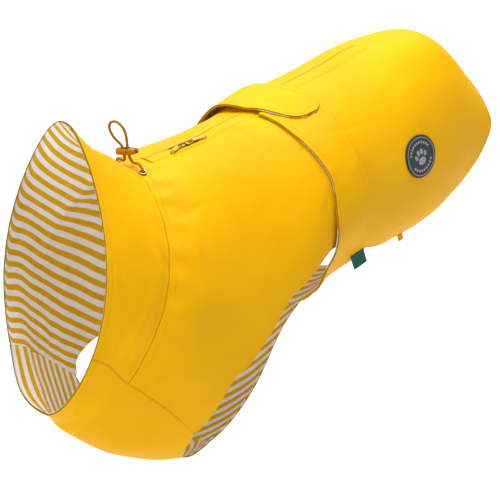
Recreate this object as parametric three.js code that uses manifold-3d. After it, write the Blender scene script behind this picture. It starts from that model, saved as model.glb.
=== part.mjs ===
// A dog raincoat, worn shape without the wearer. Millimetres, +X toward the tail, +Z up, head toward -X.
// The wearer's left side, on which the badge sits, is toward -Y.
// Every cloth piece lies on one body surface. A place on it is a station, counted from the collar rim to the hem,
// and an angle in degrees from the middle of the back, positive down the left side.
import * as THREE from 'three';
import { mergeVertices } from 'three/addons/utils/BufferGeometryUtils.js';
import Module from 'manifold-3d';

const wasm = await Module();
wasm.setup();

const SHELL = 1.1;
const LINING = 1.0;
const GAP = 0.3;
const WALL = SHELL + GAP + LINING;
const SEAM_TRIM = 0.13;
const EDGE_SWEEP = 2.2;
const ZIP_START = 2.585;
const ZIP_END = 8.72;

const yellow = new THREE.MeshStandardMaterial({ color: '#f2b90f', roughness: 0.42, metalness: 0 });
const striped = new THREE.MeshStandardMaterial({ color: '#efe2b4', roughness: 0.85, metalness: 0 });
const badgeBlack = new THREE.MeshStandardMaterial({ color: '#2b2d31', roughness: 0.6, metalness: 0 });
const labelGreen = new THREE.MeshStandardMaterial({ color: '#1f6a55', roughness: 0.8, metalness: 0 });
const brass = new THREE.MeshStandardMaterial({ color: '#a8742a', roughness: 0.35, metalness: 0.9 });
const steel = new THREE.MeshStandardMaterial({ color: '#b9bcc0', roughness: 0.3, metalness: 0.9 });
const cordYellow = new THREE.MeshStandardMaterial({ color: '#d9a012', roughness: 0.7, metalness: 0 });

// One row per station: top point, bottom point, half width, roundness (negative is narrower at top and bottom),
// and how far below the middle the widest place lies.
const stations = [
  { name: 'rim', xTop: -89.4, zTop: 74.5, xBottom: -190.5, zBottom: -204.9, half: 85.4, round: -0.07, low: 0.03 },
  { name: 'collar', xTop: -67.6, zTop: 38.9, xBottom: -176.9, zBottom: -220.2, half: 95.3, round: -0.07, low: -0.04 },
  { name: 'neck', xTop: -23.8, zTop: 4.0, xBottom: -169.9, zBottom: -236.2, half: 105.1, round: -0.08, low: -0.05 },
  { name: 'shoulder', xTop: 17.1, zTop: 0.5, xBottom: -116.6, zBottom: -288.3, half: 112.4, round: -0.03, low: -0.02 },
  { name: 'chest', xTop: 64.9, zTop: -0.9, xBottom: -40.5, zBottom: -322.2, half: 113.3, round: -0.01, low: 0.04 },
  { name: 'arm', xTop: 111.9, zTop: 1.8, xBottom: 41.0, zBottom: -292.4, half: 113.7, round: -0.01, low: 0.03 },
  { name: 'bandFront', xTop: 154.5, zTop: 4.0, xBottom: 131.9, zBottom: -222.0, half: 116.8, round: 0, low: -0.04 },
  { name: 'bandRear', xTop: 196.6, zTop: 11.3, xBottom: 197.9, zBottom: -200.7, half: 117.6, round: 0.03, low: -0.01 },
  { name: 'loin', xTop: 266.0, zTop: 13.2, xBottom: 254.6, zBottom: -199.3, half: 108.3, round: 0.04, low: 0.04 },
  { name: 'hip', xTop: 347.2, zTop: 20.5, xBottom: 324.6, zBottom: -195.4, half: 99.0, round: 0.04, low: 0.05 },
  { name: 'rump', xTop: 415.1, zTop: 10.6, xBottom: 395.7, zBottom: -185.6, half: 85.2, round: 0.03, low: 0.05 },
  { name: 'hem', xTop: 445.9, zTop: -38.2, xBottom: 464.6, zBottom: -171.6, half: 74.0, round: 0.02, low: 0.05 },
];

// Lengths on the cloth for one station along and for one degree around, near enough for the folds.
const STATION_LENGTH = 62;
const DEGREE_LENGTH = 1.95;
const FOLD_SPREAD = 1.5;

// Soft folds: where each lies, its turn in degrees from the run of the back, half length, half width and height.
const folds = [
  { at: 2.9, angle: 112, turn: -28, long: 46, wide: 11, high: 3.0 },
  { at: 3.15, angle: 100, turn: -22, long: 40, wide: 12, high: -2.4 },
  { at: 2.75, angle: 88, turn: -16, long: 34, wide: 12, high: 2.4 },
  { at: 2.95, angle: 150, turn: -35, long: 50, wide: 13, high: 2.6 },
  { at: 2.5, angle: 30, turn: 22, long: 26, wide: 9, high: 2.6 },
  { at: 2.45, angle: 48, turn: 14, long: 24, wide: 9, high: -2.2 },
  { at: 2.5, angle: -32, turn: -22, long: 26, wide: 9, high: 2.4 },
  { at: 2.9, angle: -112, turn: 28, long: 46, wide: 12, high: 2.6 },
  { at: 5.3, angle: 20, turn: 35, long: 34, wide: 12, high: 2.0 },
  { at: 6.5, angle: 122, turn: 80, long: 44, wide: 12, high: 2.4 },
  { at: 8.85, angle: 4, turn: 60, long: 24, wide: 8, high: -2.4 },
  { at: 0, angle: -146, turn: 0, long: 60, wide: 24, high: 7.0 },
  { at: 6.45, angle: 126, turn: 90, long: 42, wide: 40, high: -8.5 },
  { at: 6.45, angle: -126, turn: 90, long: 42, wide: 40, high: -8.5 },
  { at: 9.2, angle: 142, turn: 0, long: 52, wide: 20, high: 4.4 },
  { at: 9.2, angle: -142, turn: 0, long: 52, wide: 20, high: 4.4 },
  { at: 8.3, angle: -14, turn: 0, long: 60, wide: 24, high: 3.4 },
  { at: 9.6, angle: 30, turn: 75, long: 34, wide: 16, high: 2.2 },
  { at: 3.5, angle: -20, turn: 0, long: 115, wide: 16, high: 9.6 },
  { at: 1.5, angle: -12, turn: 0, long: 52, wide: 14, high: 5.6 },
  { at: 2.12, angle: -15, turn: 0, long: 17, wide: 9, high: -4.2 },
  { at: 4.6, angle: 1, turn: 0, long: 170, wide: 10, high: -2.0 },
];

// The cape, column by column: station on the middle of the back, then station and angle of its left and right edge.
const capeColumns = [
  { middle: 2.0, left: [2.0, 126.0], right: [2.0, 126.0] },
  { middle: 2.25, left: [2.25, 126.3], right: [2.2, 125.8] },
  { middle: 2.55, left: [2.6, 127.5], right: [2.45, 125.3] },
  { middle: 2.85, left: [3.0, 130.5], right: [2.7, 125.8] },
  { middle: 3.2, left: [3.43, 136.3], right: [2.97, 127.5] },
  { middle: 3.5, left: [3.54, 128.0], right: [3.05, 121.0] },
  { middle: 3.8, left: [3.6, 118.0], right: [3.27, 114.0] },
  { middle: 4.15, left: [3.72, 108.5], right: [3.55, 107.5] },
  { middle: 4.5, left: [4.05, 101.5], right: [3.95, 101.5] },
  { middle: 4.85, left: [4.42, 95.5], right: [4.4, 96.0] },
  { middle: 5.2, left: [4.86, 91.5], right: [4.86, 93.0] },
  { middle: 5.55, left: [5.25, 96.0], right: [5.25, 96.5] },
  { middle: 5.95, left: [5.65, 104.0], right: [5.65, 104.0] },
  { middle: 6.5, left: [6.2, 116.0], right: [6.2, 116.0] },
  { middle: 7.1, left: [6.9, 134.0], right: [6.9, 134.0] },
  { middle: 7.7, left: [7.6, 144.0], right: [7.6, 144.0] },
  { middle: 8.3, left: [8.4, 149.0], right: [8.4, 149.0] },
  { middle: 8.9, left: [9.1, 149.0], right: [9.1, 149.0] },
  { middle: 9.5, left: [9.62, 144.5], right: [9.62, 144.5] },
  { middle: 10.0, left: [10.05, 134.0], right: [10.05, 134.0] },
  { middle: 10.5, left: [10.42, 114.0], right: [10.42, 114.0] },
  { middle: 11.0, left: [10.82, 90.0], right: [10.82, 90.0] },
];
const SEAM_COLUMNS = 5;

// The collar, from the rim back to the drawcord casing, ends at the chest seams.
const collarColumns = [
  { middle: 0, left: [0, 118.5], right: [0, 123.0] },
  { middle: 0.3, left: [0.3, 120.0], right: [0.3, 124.5] },
  { middle: 0.8, left: [0.8, 122.5], right: [0.8, 126.0] },
  { middle: 1.3, left: [1.3, 124.5], right: [1.3, 126.8] },
  { middle: 1.7, left: [1.7, 125.5], right: [1.7, 126.6] },
  { middle: 2.0, left: [2.0, 126.0], right: [2.0, 126.0] },
];

// The chest panel behind the seams: station on the middle of the belly side, then the leg edges and the belly seam.
const chestMiddle = [0, 0.3, 0.8, 1.3, 1.7, 2.0, 2.3, 2.6, 2.9, 3.15, 3.5, 3.82, 4.1, 4.3];
const chestLegEdges = [
  { left: [3.5, 147.0], right: [3.12, 138.0] },
  { left: [3.68, 158.5], right: [3.4, 150.0] },
  { left: [3.96, 164.5], right: [3.8, 160.5] },
  { left: [4.3, 164.0], right: [4.3, 164.0] },
];
const bellyColumns = [
  { middle: 4.3, left: [4.3, 163.8], right: [4.3, 163.8] },
  { middle: 4.58, left: [4.58, 160.5], right: [4.58, 160.5] },
  { middle: 4.9, left: [4.9, 159.0], right: [4.9, 159.0] },
  { middle: 5.25, left: [5.25, 159.5], right: [5.25, 159.5] },
  { middle: 5.65, left: [5.65, 161.0], right: [5.65, 161.0] },
  { middle: 6.02, left: [6.02, 158.0], right: [6.02, 158.0] },
];

// The belly band runs from under the tab down the left side, below the belly and up over the back to the tab.
// Angle, front and rear edge as stations, and how far the two edges stand off the body.
const bandRows = [
  { angle: 12, front: 5.7, rear: 6.98, frontLift: 4.0, rearLift: 4.0 },
  { angle: 24, front: 5.76, rear: 7.02, frontLift: 4.0, rearLift: 4.0 },
  { angle: 36, front: 5.82, rear: 6.98, frontLift: 4.1, rearLift: 4.0 },
  { angle: 48, front: 5.9, rear: 6.88, frontLift: 4.4, rearLift: 4.0 },
  { angle: 60, front: 5.97, rear: 6.86, frontLift: 4.0, rearLift: 4.0 },
  { angle: 72, front: 6.02, rear: 6.88, frontLift: 4.1, rearLift: 4.0 },
  { angle: 83, front: 5.97, rear: 6.93, frontLift: 4.2, rearLift: 4.0 },
  { angle: 93, front: 5.93, rear: 6.92, frontLift: 6.2, rearLift: 4.0 },
  { angle: 103, front: 5.93, rear: 6.93, frontLift: 6.6, rearLift: 4.1 },
  { angle: 114, front: 5.98, rear: 6.98, frontLift: 5.4, rearLift: 4.2 },
  { angle: 126, front: 6.0, rear: 7.04, frontLift: 4.0, rearLift: 4.1 },
  { angle: 138, front: 6.02, rear: 7.1, frontLift: 4.0, rearLift: 4.0 },
  { angle: 148, front: 6.02, rear: 7.1, frontLift: 1.2, rearLift: 1.4 },
  { angle: 158, front: 6.02, rear: 7.06, frontLift: 0, rearLift: 0 },
  { angle: 169, front: 6.02, rear: 7.02, frontLift: 0, rearLift: 0 },
  { angle: 180, front: 6.02, rear: 7.0, frontLift: 0, rearLift: 0 },
  { angle: 191, front: 6.02, rear: 7.02, frontLift: 0, rearLift: 0 },
  { angle: 202, front: 6.02, rear: 7.06, frontLift: 0, rearLift: 0 },
  { angle: 212, front: 6.02, rear: 7.1, frontLift: 1.2, rearLift: 1.4 },
  { angle: 222, front: 6.02, rear: 7.1, frontLift: 4.0, rearLift: 4.0 },
  { angle: 234, front: 6.0, rear: 7.04, frontLift: 4.0, rearLift: 4.1 },
  { angle: 246, front: 5.98, rear: 6.98, frontLift: 4.6, rearLift: 4.1 },
  { angle: 258, front: 5.95, rear: 6.93, frontLift: 4.6, rearLift: 4.1 },
  { angle: 270, front: 5.93, rear: 6.93, frontLift: 4.6, rearLift: 4.1 },
  { angle: 282, front: 5.95, rear: 6.93, frontLift: 5.0, rearLift: 4.2 },
  { angle: 294, front: 5.95, rear: 6.93, frontLift: 5.6, rearLift: 4.1 },
  { angle: 306, front: 5.92, rear: 6.94, frontLift: 6.0, rearLift: 4.4 },
  { angle: 318, front: 5.86, rear: 6.95, frontLift: 7.0, rearLift: 5.2 },
  { angle: 330, front: 5.78, rear: 6.97, frontLift: 8.4, rearLift: 6.0 },
  { angle: 342, front: 5.7, rear: 6.98, frontLift: 9.4, rearLift: 6.6 },
  { angle: 352, front: 5.68, rear: 6.98, frontLift: 9.0, rearLift: 7.2 },
  { angle: 361, front: 5.7, rear: 6.98, frontLift: 8.4, rearLift: 7.2 },
  { angle: 369, front: 5.78, rear: 6.98, frontLift: 7.7, rearLift: 7.1 },
  { angle: 376, front: 5.87, rear: 6.99, frontLift: 7.5, rearLift: 7.1 },
  { angle: 382, front: 5.96, rear: 7.0, frontLift: 7.4, rearLift: 7.1 },
  { angle: 387, front: 6.07, rear: 6.99, frontLift: 7.3, rearLift: 7.1 },
  { angle: 391, front: 6.22, rear: 6.92, frontLift: 7.2, rearLift: 7.1 },
  { angle: 393.5, front: 6.42, rear: 6.76, frontLift: 7.1, rearLift: 7.1 },
];

const degrees = Math.PI / 180;

function stationAt(station) {
  const last = stations.length - 1;
  const first = Math.min(Math.max(Math.floor(station), 0), last - 1);
  const t = station - first;
  const rows = [-1, 0, 1, 2].map((step) => stations[Math.min(Math.max(first + step, 0), last)]);
  const blend = (key) => {
    const [p0, p1, p2, p3] = rows.map((row) => row[key]);
    return 0.5 * (2 * p1 + (p2 - p0) * t + (2 * p0 - 5 * p1 + 4 * p2 - p3) * t * t
      + (3 * p1 - p0 - 3 * p2 + p3) * t * t * t);
  };
  return {
    xTop: blend('xTop'), zTop: blend('zTop'), xBottom: blend('xBottom'), zBottom: blend('zBottom'),
    half: blend('half'), round: blend('round'), low: blend('low'),
  };
}

function smoothBody(station, angle) {
  const row = stationAt(station);
  const across = Math.sin(angle * degrees);
  const side = (across + row.round * Math.sin(3 * angle * degrees)) / (1 - row.round);
  const down = (1 - Math.cos(angle * degrees)) / 2 + row.low * across * across;
  return new THREE.Vector3(
    row.xTop + (row.xBottom - row.xTop) * down,
    -row.half * side,
    row.zTop + (row.zBottom - row.zTop) * down,
  );
}

function normalOf(surface, station, angle) {
  const along = surface(station + 0.02, angle).sub(surface(station - 0.02, angle));
  const around = surface(station, angle + 0.5).sub(surface(station, angle - 0.5));
  return around.cross(along).normalize();
}

// Signed angle between two places, so that a fold near the belly reads the same from both sides.
function angleBetween(first, second) {
  return ((first - second + 540) % 360) - 180;
}

// The casing is drawn in by its cord, most of all over the back of the neck, puckers the cloth behind it,
// and fades out at the chest seams.
const CASING = { at: 2, wide: 0.2, depth: 1.6, moreOnTop: 1.4, topReach: 40, fadesAt: 112, fadeWidth: 5 };
const PUCKERS = { at: 2.25, wide: 0.3, high: 0.9, perDegree: 27 };
function casingHeight(station, fromTop) {
  const bump = (row) => Math.exp(-(((station - row.at) / row.wide) ** 2));
  const drawn = CASING.depth + CASING.moreOnTop * Math.exp(-((fromTop / CASING.topReach) ** 2));
  const puckered = PUCKERS.high * Math.cos(fromTop * PUCKERS.perDegree * degrees);
  const cased = 1 / (1 + Math.exp((fromTop - CASING.fadesAt) / CASING.fadeWidth));
  return cased * (puckered * bump(PUCKERS) - drawn * bump(CASING));
}

function foldHeight(station, angle) {
  let height = 0;
  for (const fold of folds) {
    const along = (station - fold.at) * STATION_LENGTH;
    const around = angleBetween(angle, fold.angle) * DEGREE_LENGTH;
    const turn = fold.turn * degrees;
    const onFold = along * Math.cos(turn) + around * Math.sin(turn);
    const offFold = around * Math.cos(turn) - along * Math.sin(turn);
    height += fold.high * Math.exp(-((onFold / fold.long) ** 2) - (offFold / (fold.wide * FOLD_SPREAD)) ** 2);
  }
  return height + casingHeight(station, Math.abs(angleBetween(angle, 0)));
}

function foldedBody(station, angle) {
  const place = smoothBody(station, angle);
  const out = normalOf(smoothBody, station, angle);
  return place.addScaledVector(out, foldHeight(station, angle));
}

// The place where the wearer's back carries the coat, on the lining at the front end of the zip, is the origin.
const carried = foldedBody(ZIP_START, 0).addScaledVector(normalOf(foldedBody, ZIP_START, 0), -WALL);

// A place on the coat, given a distance outward from the outer face of the shell.
function onCoat(station, angle, out) {
  const place = foldedBody(station, angle);
  place.addScaledVector(normalOf(foldedBody, station, angle), out);
  return place.sub(carried);
}

function closedSolid(points, triangles) {
  const flat = [];
  for (const point of points) {
    flat.push(point.x, point.y, point.z);
  }
  let volume = 0;
  for (let i = 0; i < triangles.length; i += 3) {
    const [a, b, c] = [points[triangles[i]], points[triangles[i + 1]], points[triangles[i + 2]]];
    volume += a.dot(b.clone().cross(c));
  }
  const ordered = [...triangles];
  if (volume < 0) {
    for (let i = 0; i < ordered.length; i += 3) {
      [ordered[i + 1], ordered[i + 2]] = [ordered[i + 2], ordered[i + 1]];
    }
  }
  const geometry = new THREE.BufferGeometry();
  geometry.setAttribute('position', new THREE.Float32BufferAttribute(flat, 3));
  geometry.setIndex(ordered);
  geometry.computeVertexNormals();
  return geometry;
}

// A cloth layer: a sheet of places, each with the distances of its inner and outer face.
function layer(sheet) {
  const columns = sheet.length;
  const rows = sheet[0].length;
  const count = columns * rows;
  const points = [];
  for (const face of ['inner', 'outer']) {
    for (const column of sheet) {
      for (const place of column) {
        points.push(onCoat(place.station, place.angle, place[face]));
      }
    }
  }
  const triangles = [];
  const quad = (a, b, c, d) => triangles.push(a, b, c, a, c, d);
  const at = (i, j) => i * rows + j;
  for (let i = 0; i < columns - 1; i++) {
    for (let j = 0; j < rows - 1; j++) {
      quad(at(i, j), at(i + 1, j), at(i + 1, j + 1), at(i, j + 1));
      quad(count + at(i, j), count + at(i, j + 1), count + at(i + 1, j + 1), count + at(i + 1, j));
    }
  }
  for (let i = 0; i < columns - 1; i++) {
    quad(at(i, 0), count + at(i, 0), count + at(i + 1, 0), at(i + 1, 0));
    quad(at(i, rows - 1), at(i + 1, rows - 1), count + at(i + 1, rows - 1), count + at(i, rows - 1));
  }
  for (let j = 0; j < rows - 1; j++) {
    quad(at(0, j), at(0, j + 1), count + at(0, j + 1), count + at(0, j));
    const end = columns - 1;
    quad(at(end, j), count + at(end, j), count + at(end, j + 1), at(end, j + 1));
  }
  return closedSolid(points, triangles);
}

const shellFaces = { inner: -SHELL, outer: 0 };
const liningFaces = { inner: -WALL, outer: -SHELL - GAP };

// A panel over the back: each column swings from its middle station to its two edges.
function overBack(columns, rows, faces, trim) {
  return columns.map((column, i) => {
    const places = [];
    for (let j = 0; j < rows; j++) {
      const way = (2 * j) / (rows - 1) - 1;
      const edge = way < 0 ? column.right : column.left;
      const reach = Math.abs(way);
      const station = column.middle + (edge[0] - column.middle) * reach ** EDGE_SWEEP;
      const angle = way * (edge[1] - (trim.sides(i) ? SEAM_TRIM : 0));
      places.push({ station: station + trim.ends(i), angle, ...faces });
    }
    return places;
  });
}

// A panel under the body, from its left edge round the bottom to its right edge.
function underBody(columns, rows, faces, trim) {
  return columns.map((column, i) => {
    const places = [];
    for (let j = 0; j < rows; j++) {
      const way = j / (rows - 1);
      const margin = trim.sides(i) ? SEAM_TRIM : 0;
      const start = column.left[1] + margin;
      const end = 360 - column.right[1] - margin;
      const edge = way < 0.5 ? column.left : column.right;
      const reach = Math.abs(2 * way - 1);
      const station = column.middle + (edge[0] - column.middle) * reach ** EDGE_SWEEP;
      places.push({ station: station + trim.ends(i), angle: start + (end - start) * way, ...faces });
    }
    return places;
  });
}

const coat = new THREE.Group();
coat.name = 'dog_raincoat';

function add(name, geometry, material) {
  const mesh = new THREE.Mesh(geometry, material);
  mesh.name = name;
  coat.add(mesh);
  return mesh;
}

function addPair(shellName, liningName, makeSheet) {
  add(shellName, layer(makeSheet(shellFaces)), yellow);
  add(liningName, layer(makeSheet(liningFaces)), striped);
}

const BACK_ROWS = 25;
const CHEST_ROWS = 13;
const BELLY_ROWS = 7;
const always = () => true;
const never = () => false;

const collarEnds = (i) => (i === collarColumns.length - 1 ? -0.006 : 0);
addPair('collar', 'collar_lining', (faces) => overBack(collarColumns, BACK_ROWS, faces, {
  sides: always,
  ends: collarEnds,
}));

addPair('cape', 'cape_lining', (faces) => overBack(capeColumns, BACK_ROWS, faces, {
  sides: (i) => i < SEAM_COLUMNS,
  ends: (i) => (i === 0 ? 0.006 : 0),
}));

// The chest panel's edges follow the collar's and the cape's own edge places as far as the leg openings.
const seamEdges = [...collarColumns, ...capeColumns.slice(1, SEAM_COLUMNS)];
const chestColumns = [...seamEdges, ...chestLegEdges].map((edges, i) => ({
  middle: chestMiddle[i],
  left: edges.left,
  right: edges.right,
}));
addPair('chest_panel', 'chest_lining', (faces) => underBody(chestColumns, CHEST_ROWS, faces, {
  sides: (i) => i < seamEdges.length,
  ends: (i) => (i === chestColumns.length - 1 ? -0.003 : 0),
}));

addPair('belly_panel', 'belly_lining', (faces) => underBody(bellyColumns, BELLY_ROWS, faces, {
  sides: never,
  ends: (i) => (i === 0 ? 0.003 : i === bellyColumns.length - 1 ? -0.004 : 0),
}));

// The band's lining lies inward of its shell by the same step as on the other pieces.
const BAND_ACROSS = 4;
addPair('belly_band', 'band_lining', (faces) => bandRows.map((row) => {
  const places = [];
  for (let j = 0; j < BAND_ACROSS; j++) {
    const way = j / (BAND_ACROSS - 1);
    const lift = row.frontLift + (row.rearLift - row.frontLift) * way;
    places.push({
      station: row.front + (row.rear - row.front) * way,
      angle: row.angle,
      inner: faces.inner + lift,
      outer: faces.outer + lift,
    });
  }
  return places;
}));

// The welt that hides the zip: its folded edge runs down the middle of the back and opens round the sliders.
const WELT = { under: 0.8, thick: 1.1, farEdge: 8.8 };
const weltRows = [
  { station: 2.62, edge: -0.2 },
  { station: 3.0, edge: -0.2 },
  { station: 3.28, edge: 0 },
  { station: 3.44, edge: 6.2 },
  { station: 3.74, edge: 6.5 },
  { station: 4.03, edge: 6.2 },
  { station: 4.2, edge: 0 },
  { station: 4.6, edge: -0.2 },
  { station: 5.0, edge: -0.2 },
  { station: 5.4, edge: -0.2 },
  { station: 5.8, edge: -0.2 },
  { station: 6.2, edge: -0.2 },
  { station: 6.65, edge: -0.2 },
  { station: 7.1, edge: -0.2 },
  { station: 7.6, edge: -0.2 },
  { station: 8.1, edge: -0.2 },
  { station: 8.45, edge: -0.2 },
  { station: ZIP_END, edge: -0.2 },
];
add('zip_welt', layer(weltRows.map((row) => [0, 0.5, 1].map((way) => ({
  station: row.station,
  angle: row.edge + (WELT.farEdge - row.edge) * way,
  inner: WELT.under,
  outer: WELT.under + WELT.thick,
})))), yellow);

// A round patch on the left hip, following the cloth. The lean keeps it round where the columns lie aslant.
const badge = { station: 8.45, angle: 85, acrossStations: 0.35, acrossAngle: 12.9, lean: 0.07, thick: 1.2 };
function patch(centre, inner, outer, sides) {
  const rings = [0, 0.5, 1];
  const places = [];
  for (const ring of rings) {
    const around = ring === 0 ? 1 : sides;
    for (let i = 0; i < around; i++) {
      const turn = (2 * Math.PI * i) / sides;
      places.push([
        centre.station + ring * (centre.acrossStations * Math.cos(turn) + centre.lean * Math.sin(turn)),
        centre.angle + ring * centre.acrossAngle * Math.sin(turn),
      ]);
    }
  }
  const count = places.length;
  const points = [inner, outer].flatMap((out) => places.map(([station, angle]) => onCoat(station, angle, out)));
  const triangles = [];
  for (let i = 0; i < sides; i++) {
    const next = (i + 1) % sides;
    const [a, b] = [1 + i, 1 + next];
    const [c, d] = [1 + sides + i, 1 + sides + next];
    triangles.push(0, a, b, a, c, d, a, d, b);
    triangles.push(count, count + b, count + a, count + a, count + d, count + c, count + a, count + b, count + d);
    triangles.push(c, count + c, count + d, c, count + d, d);
  }
  return closedSolid(points, triangles);
}
add('badge', patch(badge, 2 * GAP, 2 * GAP + badge.thick, 32), badgeBlack);

// A frame on the coat: x toward the tail along the cloth, z outward, y across toward the wearer's right.
function frameAt(station, angle, out) {
  const place = onCoat(station, angle, out);
  const ahead = onCoat(station + 0.05, angle, out);
  const outward = normalOf(foldedBody, station, angle);
  const tail = ahead.sub(place).normalize();
  const right = outward.clone().cross(tail).normalize();
  const matrix = new THREE.Matrix4().makeBasis(tail, right, outward);
  return matrix.setPosition(place);
}

// Thin plate from an outline in its own frame, with holes.
function plate(outline, holes, thickness, from) {
  const shape = new THREE.Shape(outline.map(([x, y]) => new THREE.Vector2(x, y)));
  for (const hole of holes) {
    shape.holes.push(new THREE.Path(hole.map(([x, y]) => new THREE.Vector2(x, y))));
  }
  const geometry = new THREE.ExtrudeGeometry(shape, { depth: thickness, bevelEnabled: false });
  geometry.translate(0, 0, from);
  return geometry;
}

function roundedBox(length, width, corner, steps) {
  const outline = [];
  const centres = [[1, 1], [-1, 1], [-1, -1], [1, -1]];
  centres.forEach(([sx, sy], k) => {
    for (let i = 0; i <= steps; i++) {
      const turn = (k + i / steps) * Math.PI / 2;
      outline.push([
        sx * (length / 2 - corner) + corner * Math.cos(turn),
        sy * (width / 2 - corner) + corner * Math.sin(turn),
      ]);
    }
  });
  return outline;
}

function moved(outline, x, y) {
  return outline.map(([px, py]) => [px + x, py + y]);
}

function toManifold(geometry) {
  const bare = new THREE.BufferGeometry();
  bare.setAttribute('position', geometry.getAttribute('position').clone());
  if (geometry.index) {
    bare.setIndex(geometry.index.clone());
  }
  const merged = mergeVertices(bare, 1e-4);
  return new wasm.Manifold(new wasm.Mesh({
    numProp: 3,
    vertProperties: new Float32Array(merged.getAttribute('position').array),
    triVerts: new Uint32Array(merged.index.array),
  }));
}

function fromManifold(solid) {
  const mesh = solid.getMesh();
  const geometry = new THREE.BufferGeometry();
  geometry.setAttribute('position', new THREE.BufferAttribute(new Float32Array(mesh.vertProperties), 3));
  geometry.setIndex(new THREE.BufferAttribute(new Uint32Array(mesh.triVerts), 1));
  return geometry;
}

// The two zip sliders stand back to back. Each has a flat body with an arch on it, and a pull tab hung on the arch.
const SLIDER = {
  angle: 3.2, length: 10, width: 7, corner: 2, body: 1.9, archLength: 4.4, archHeight: 3.3, archWidth: 1.6, bar: 0.9,
};
const PULL = {
  length: 21, width: 6.8, thick: 1.1, corner: 2, slotLength: 2.9, slotWidth: 3.2, holeRadius: 1.4, holeFromTip: 3.8,
};
const HINGE_HEIGHT = SLIDER.body + (SLIDER.archHeight - SLIDER.bar) / 2;

function sliderSolid() {
  const body = plate(roundedBox(SLIDER.length, SLIDER.width, SLIDER.corner, 3), [], SLIDER.body, 0);
  const reach = SLIDER.archLength / 2;
  const inside = reach - SLIDER.bar;
  const top = SLIDER.archHeight;
  const foot = -0.4;
  const arch = plate([
    [-reach, foot], [-inside, foot], [-inside, top - SLIDER.bar], [inside, top - SLIDER.bar],
    [inside, foot], [reach, foot], [reach, top - 0.9], [reach - 0.9, top], [0.9 - reach, top], [-reach, top - 0.9],
  ], [], SLIDER.archWidth, -SLIDER.archWidth / 2);
  arch.rotateX(Math.PI / 2);
  arch.translate(0, 0, SLIDER.body);
  return fromManifold(toManifold(body).add(toManifold(arch)));
}

// The tab's bar lies along the hinge, through the arch, and the tab reaches toward -x from it.
function pullSolid() {
  const half = PULL.thick / 2;
  const outline = moved(roundedBox(PULL.length, PULL.width, PULL.corner, 3), half - PULL.length / 2, 0);
  const slot = moved(roundedBox(PULL.slotLength, PULL.slotWidth, 0.4, 1), -half - PULL.slotLength / 2, 0);
  const hole = [];
  for (let i = 0; i < 10; i++) {
    const turn = (i / 10) * 2 * Math.PI;
    hole.push([
      PULL.holeFromTip - PULL.length + PULL.holeRadius * Math.cos(turn),
      PULL.holeRadius * Math.sin(turn),
    ]);
  }
  return plate(outline, [slot, hole], PULL.thick, -half);
}

function addSlider(end, station, facing, twist) {
  const frame = frameAt(station, SLIDER.angle, 2 * GAP);
  frame.multiply(new THREE.Matrix4().makeRotationZ(facing));
  add(`zip_slider_${end}`, sliderSolid(), brass).applyMatrix4(frame);
  const hinge = frame.clone().multiply(new THREE.Matrix4().makeTranslation(0, 0, HINGE_HEIGHT));
  hinge.multiply(new THREE.Matrix4().makeRotationZ(twist));
  add(`pull_tab_${end}`, pullSolid(), brass).applyMatrix4(hinge);
}
addSlider('front', 3.58, 0.1, 0.28);
addSlider('rear', 3.86, Math.PI - 0.06, -0.17);

// Two eyelets let the drawcord out of the casing, one on each side of the back.
const EYELET = { outer: 4.2, inner: 2.1, high: 1.1, station: 2.1, clear: 1.4 };
function eyeletSolid() {
  const profile = [
    [EYELET.inner, 0], [EYELET.outer, 0], [EYELET.outer - 0.6, EYELET.high],
    [EYELET.inner + 0.3, EYELET.high], [EYELET.inner, 0],
  ].map(([x, y]) => new THREE.Vector2(x, y));
  return new THREE.LatheGeometry(profile, 20).rotateX(Math.PI / 2);
}
for (const [side, angle] of [['left', 17], ['right', -14]]) {
  const frame = frameAt(EYELET.station, angle, EYELET.clear);
  add(`eyelet_${side}`, eyeletSolid(), steel).applyMatrix4(frame);
}

// The drawcord leaves one eyelet, rises through the cord lock, loops and goes back down to the other eyelet.
const CORD = { radius: 1.5, sides: 8, steps: 44 };
const cordRoute = [
  [-22.4, -23.3, 0.1], [-22.4, -23.0, 3.1], [-22.2, -21.4, 5.7], [-21.9, -19.0, 7.4], [-21.5, -16.1, 8.1],
  [-21.2, -13.1, 7.9], [-20.8, -10.1, 7.8], [-20.4, -7.1, 8.2], [-20.1, -4.6, 9.8], [-19.9, -2.9, 12.3],
  [-19.8, -2.3, 15.3], [-19.8, -2.3, 19.7], [-19.9, -2.7, 24.1], [-20.5, -4.4, 28.9], [-21.8, -7.0, 35.1],
  [-23.4, -8.8, 42.3], [-25.1, -7.6, 49.1], [-26.8, -2.3, 53.7], [-28.3, 3.6, 53.2], [-29.2, 7.6, 47.9],
  [-28.3, 7.3, 39.9], [-26.1, 4.9, 33.0], [-23.8, 2.4, 27.9], [-22.7, 1.4, 23.9], [-22.6, 1.5, 19.7],
  [-22.6, 1.6, 15.3], [-22.6, 1.9, 13.2], [-22.5, 2.9, 11.4], [-22.3, 4.4, 10.1], [-22.1, 6.2, 9.4],
  [-21.8, 8.3, 9.3], [-21.6, 10.2, 9.7], [-21.3, 12.1, 10.4], [-21.1, 14.2, 10.5], [-20.8, 16.1, 10.0],
  [-20.6, 17.8, 8.8], [-20.5, 19.0, 7.1], [-20.4, 19.5, 5.2],
].map(([x, y, z]) => new THREE.Vector3(x, y, z));
function cordSolid() {
  const section = new THREE.Shape();
  for (let i = 0; i < CORD.sides; i++) {
    const turn = (i / CORD.sides) * 2 * Math.PI;
    const corner = [CORD.radius * Math.cos(turn), CORD.radius * Math.sin(turn)];
    if (i) {
      section.lineTo(...corner);
    } else {
      section.moveTo(...corner);
    }
  }
  const route = new THREE.CatmullRomCurve3(cordRoute);
  return new THREE.ExtrudeGeometry(section, { steps: CORD.steps, extrudePath: route, bevelEnabled: false });
}
add('drawcord', cordSolid(), cordYellow);

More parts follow.
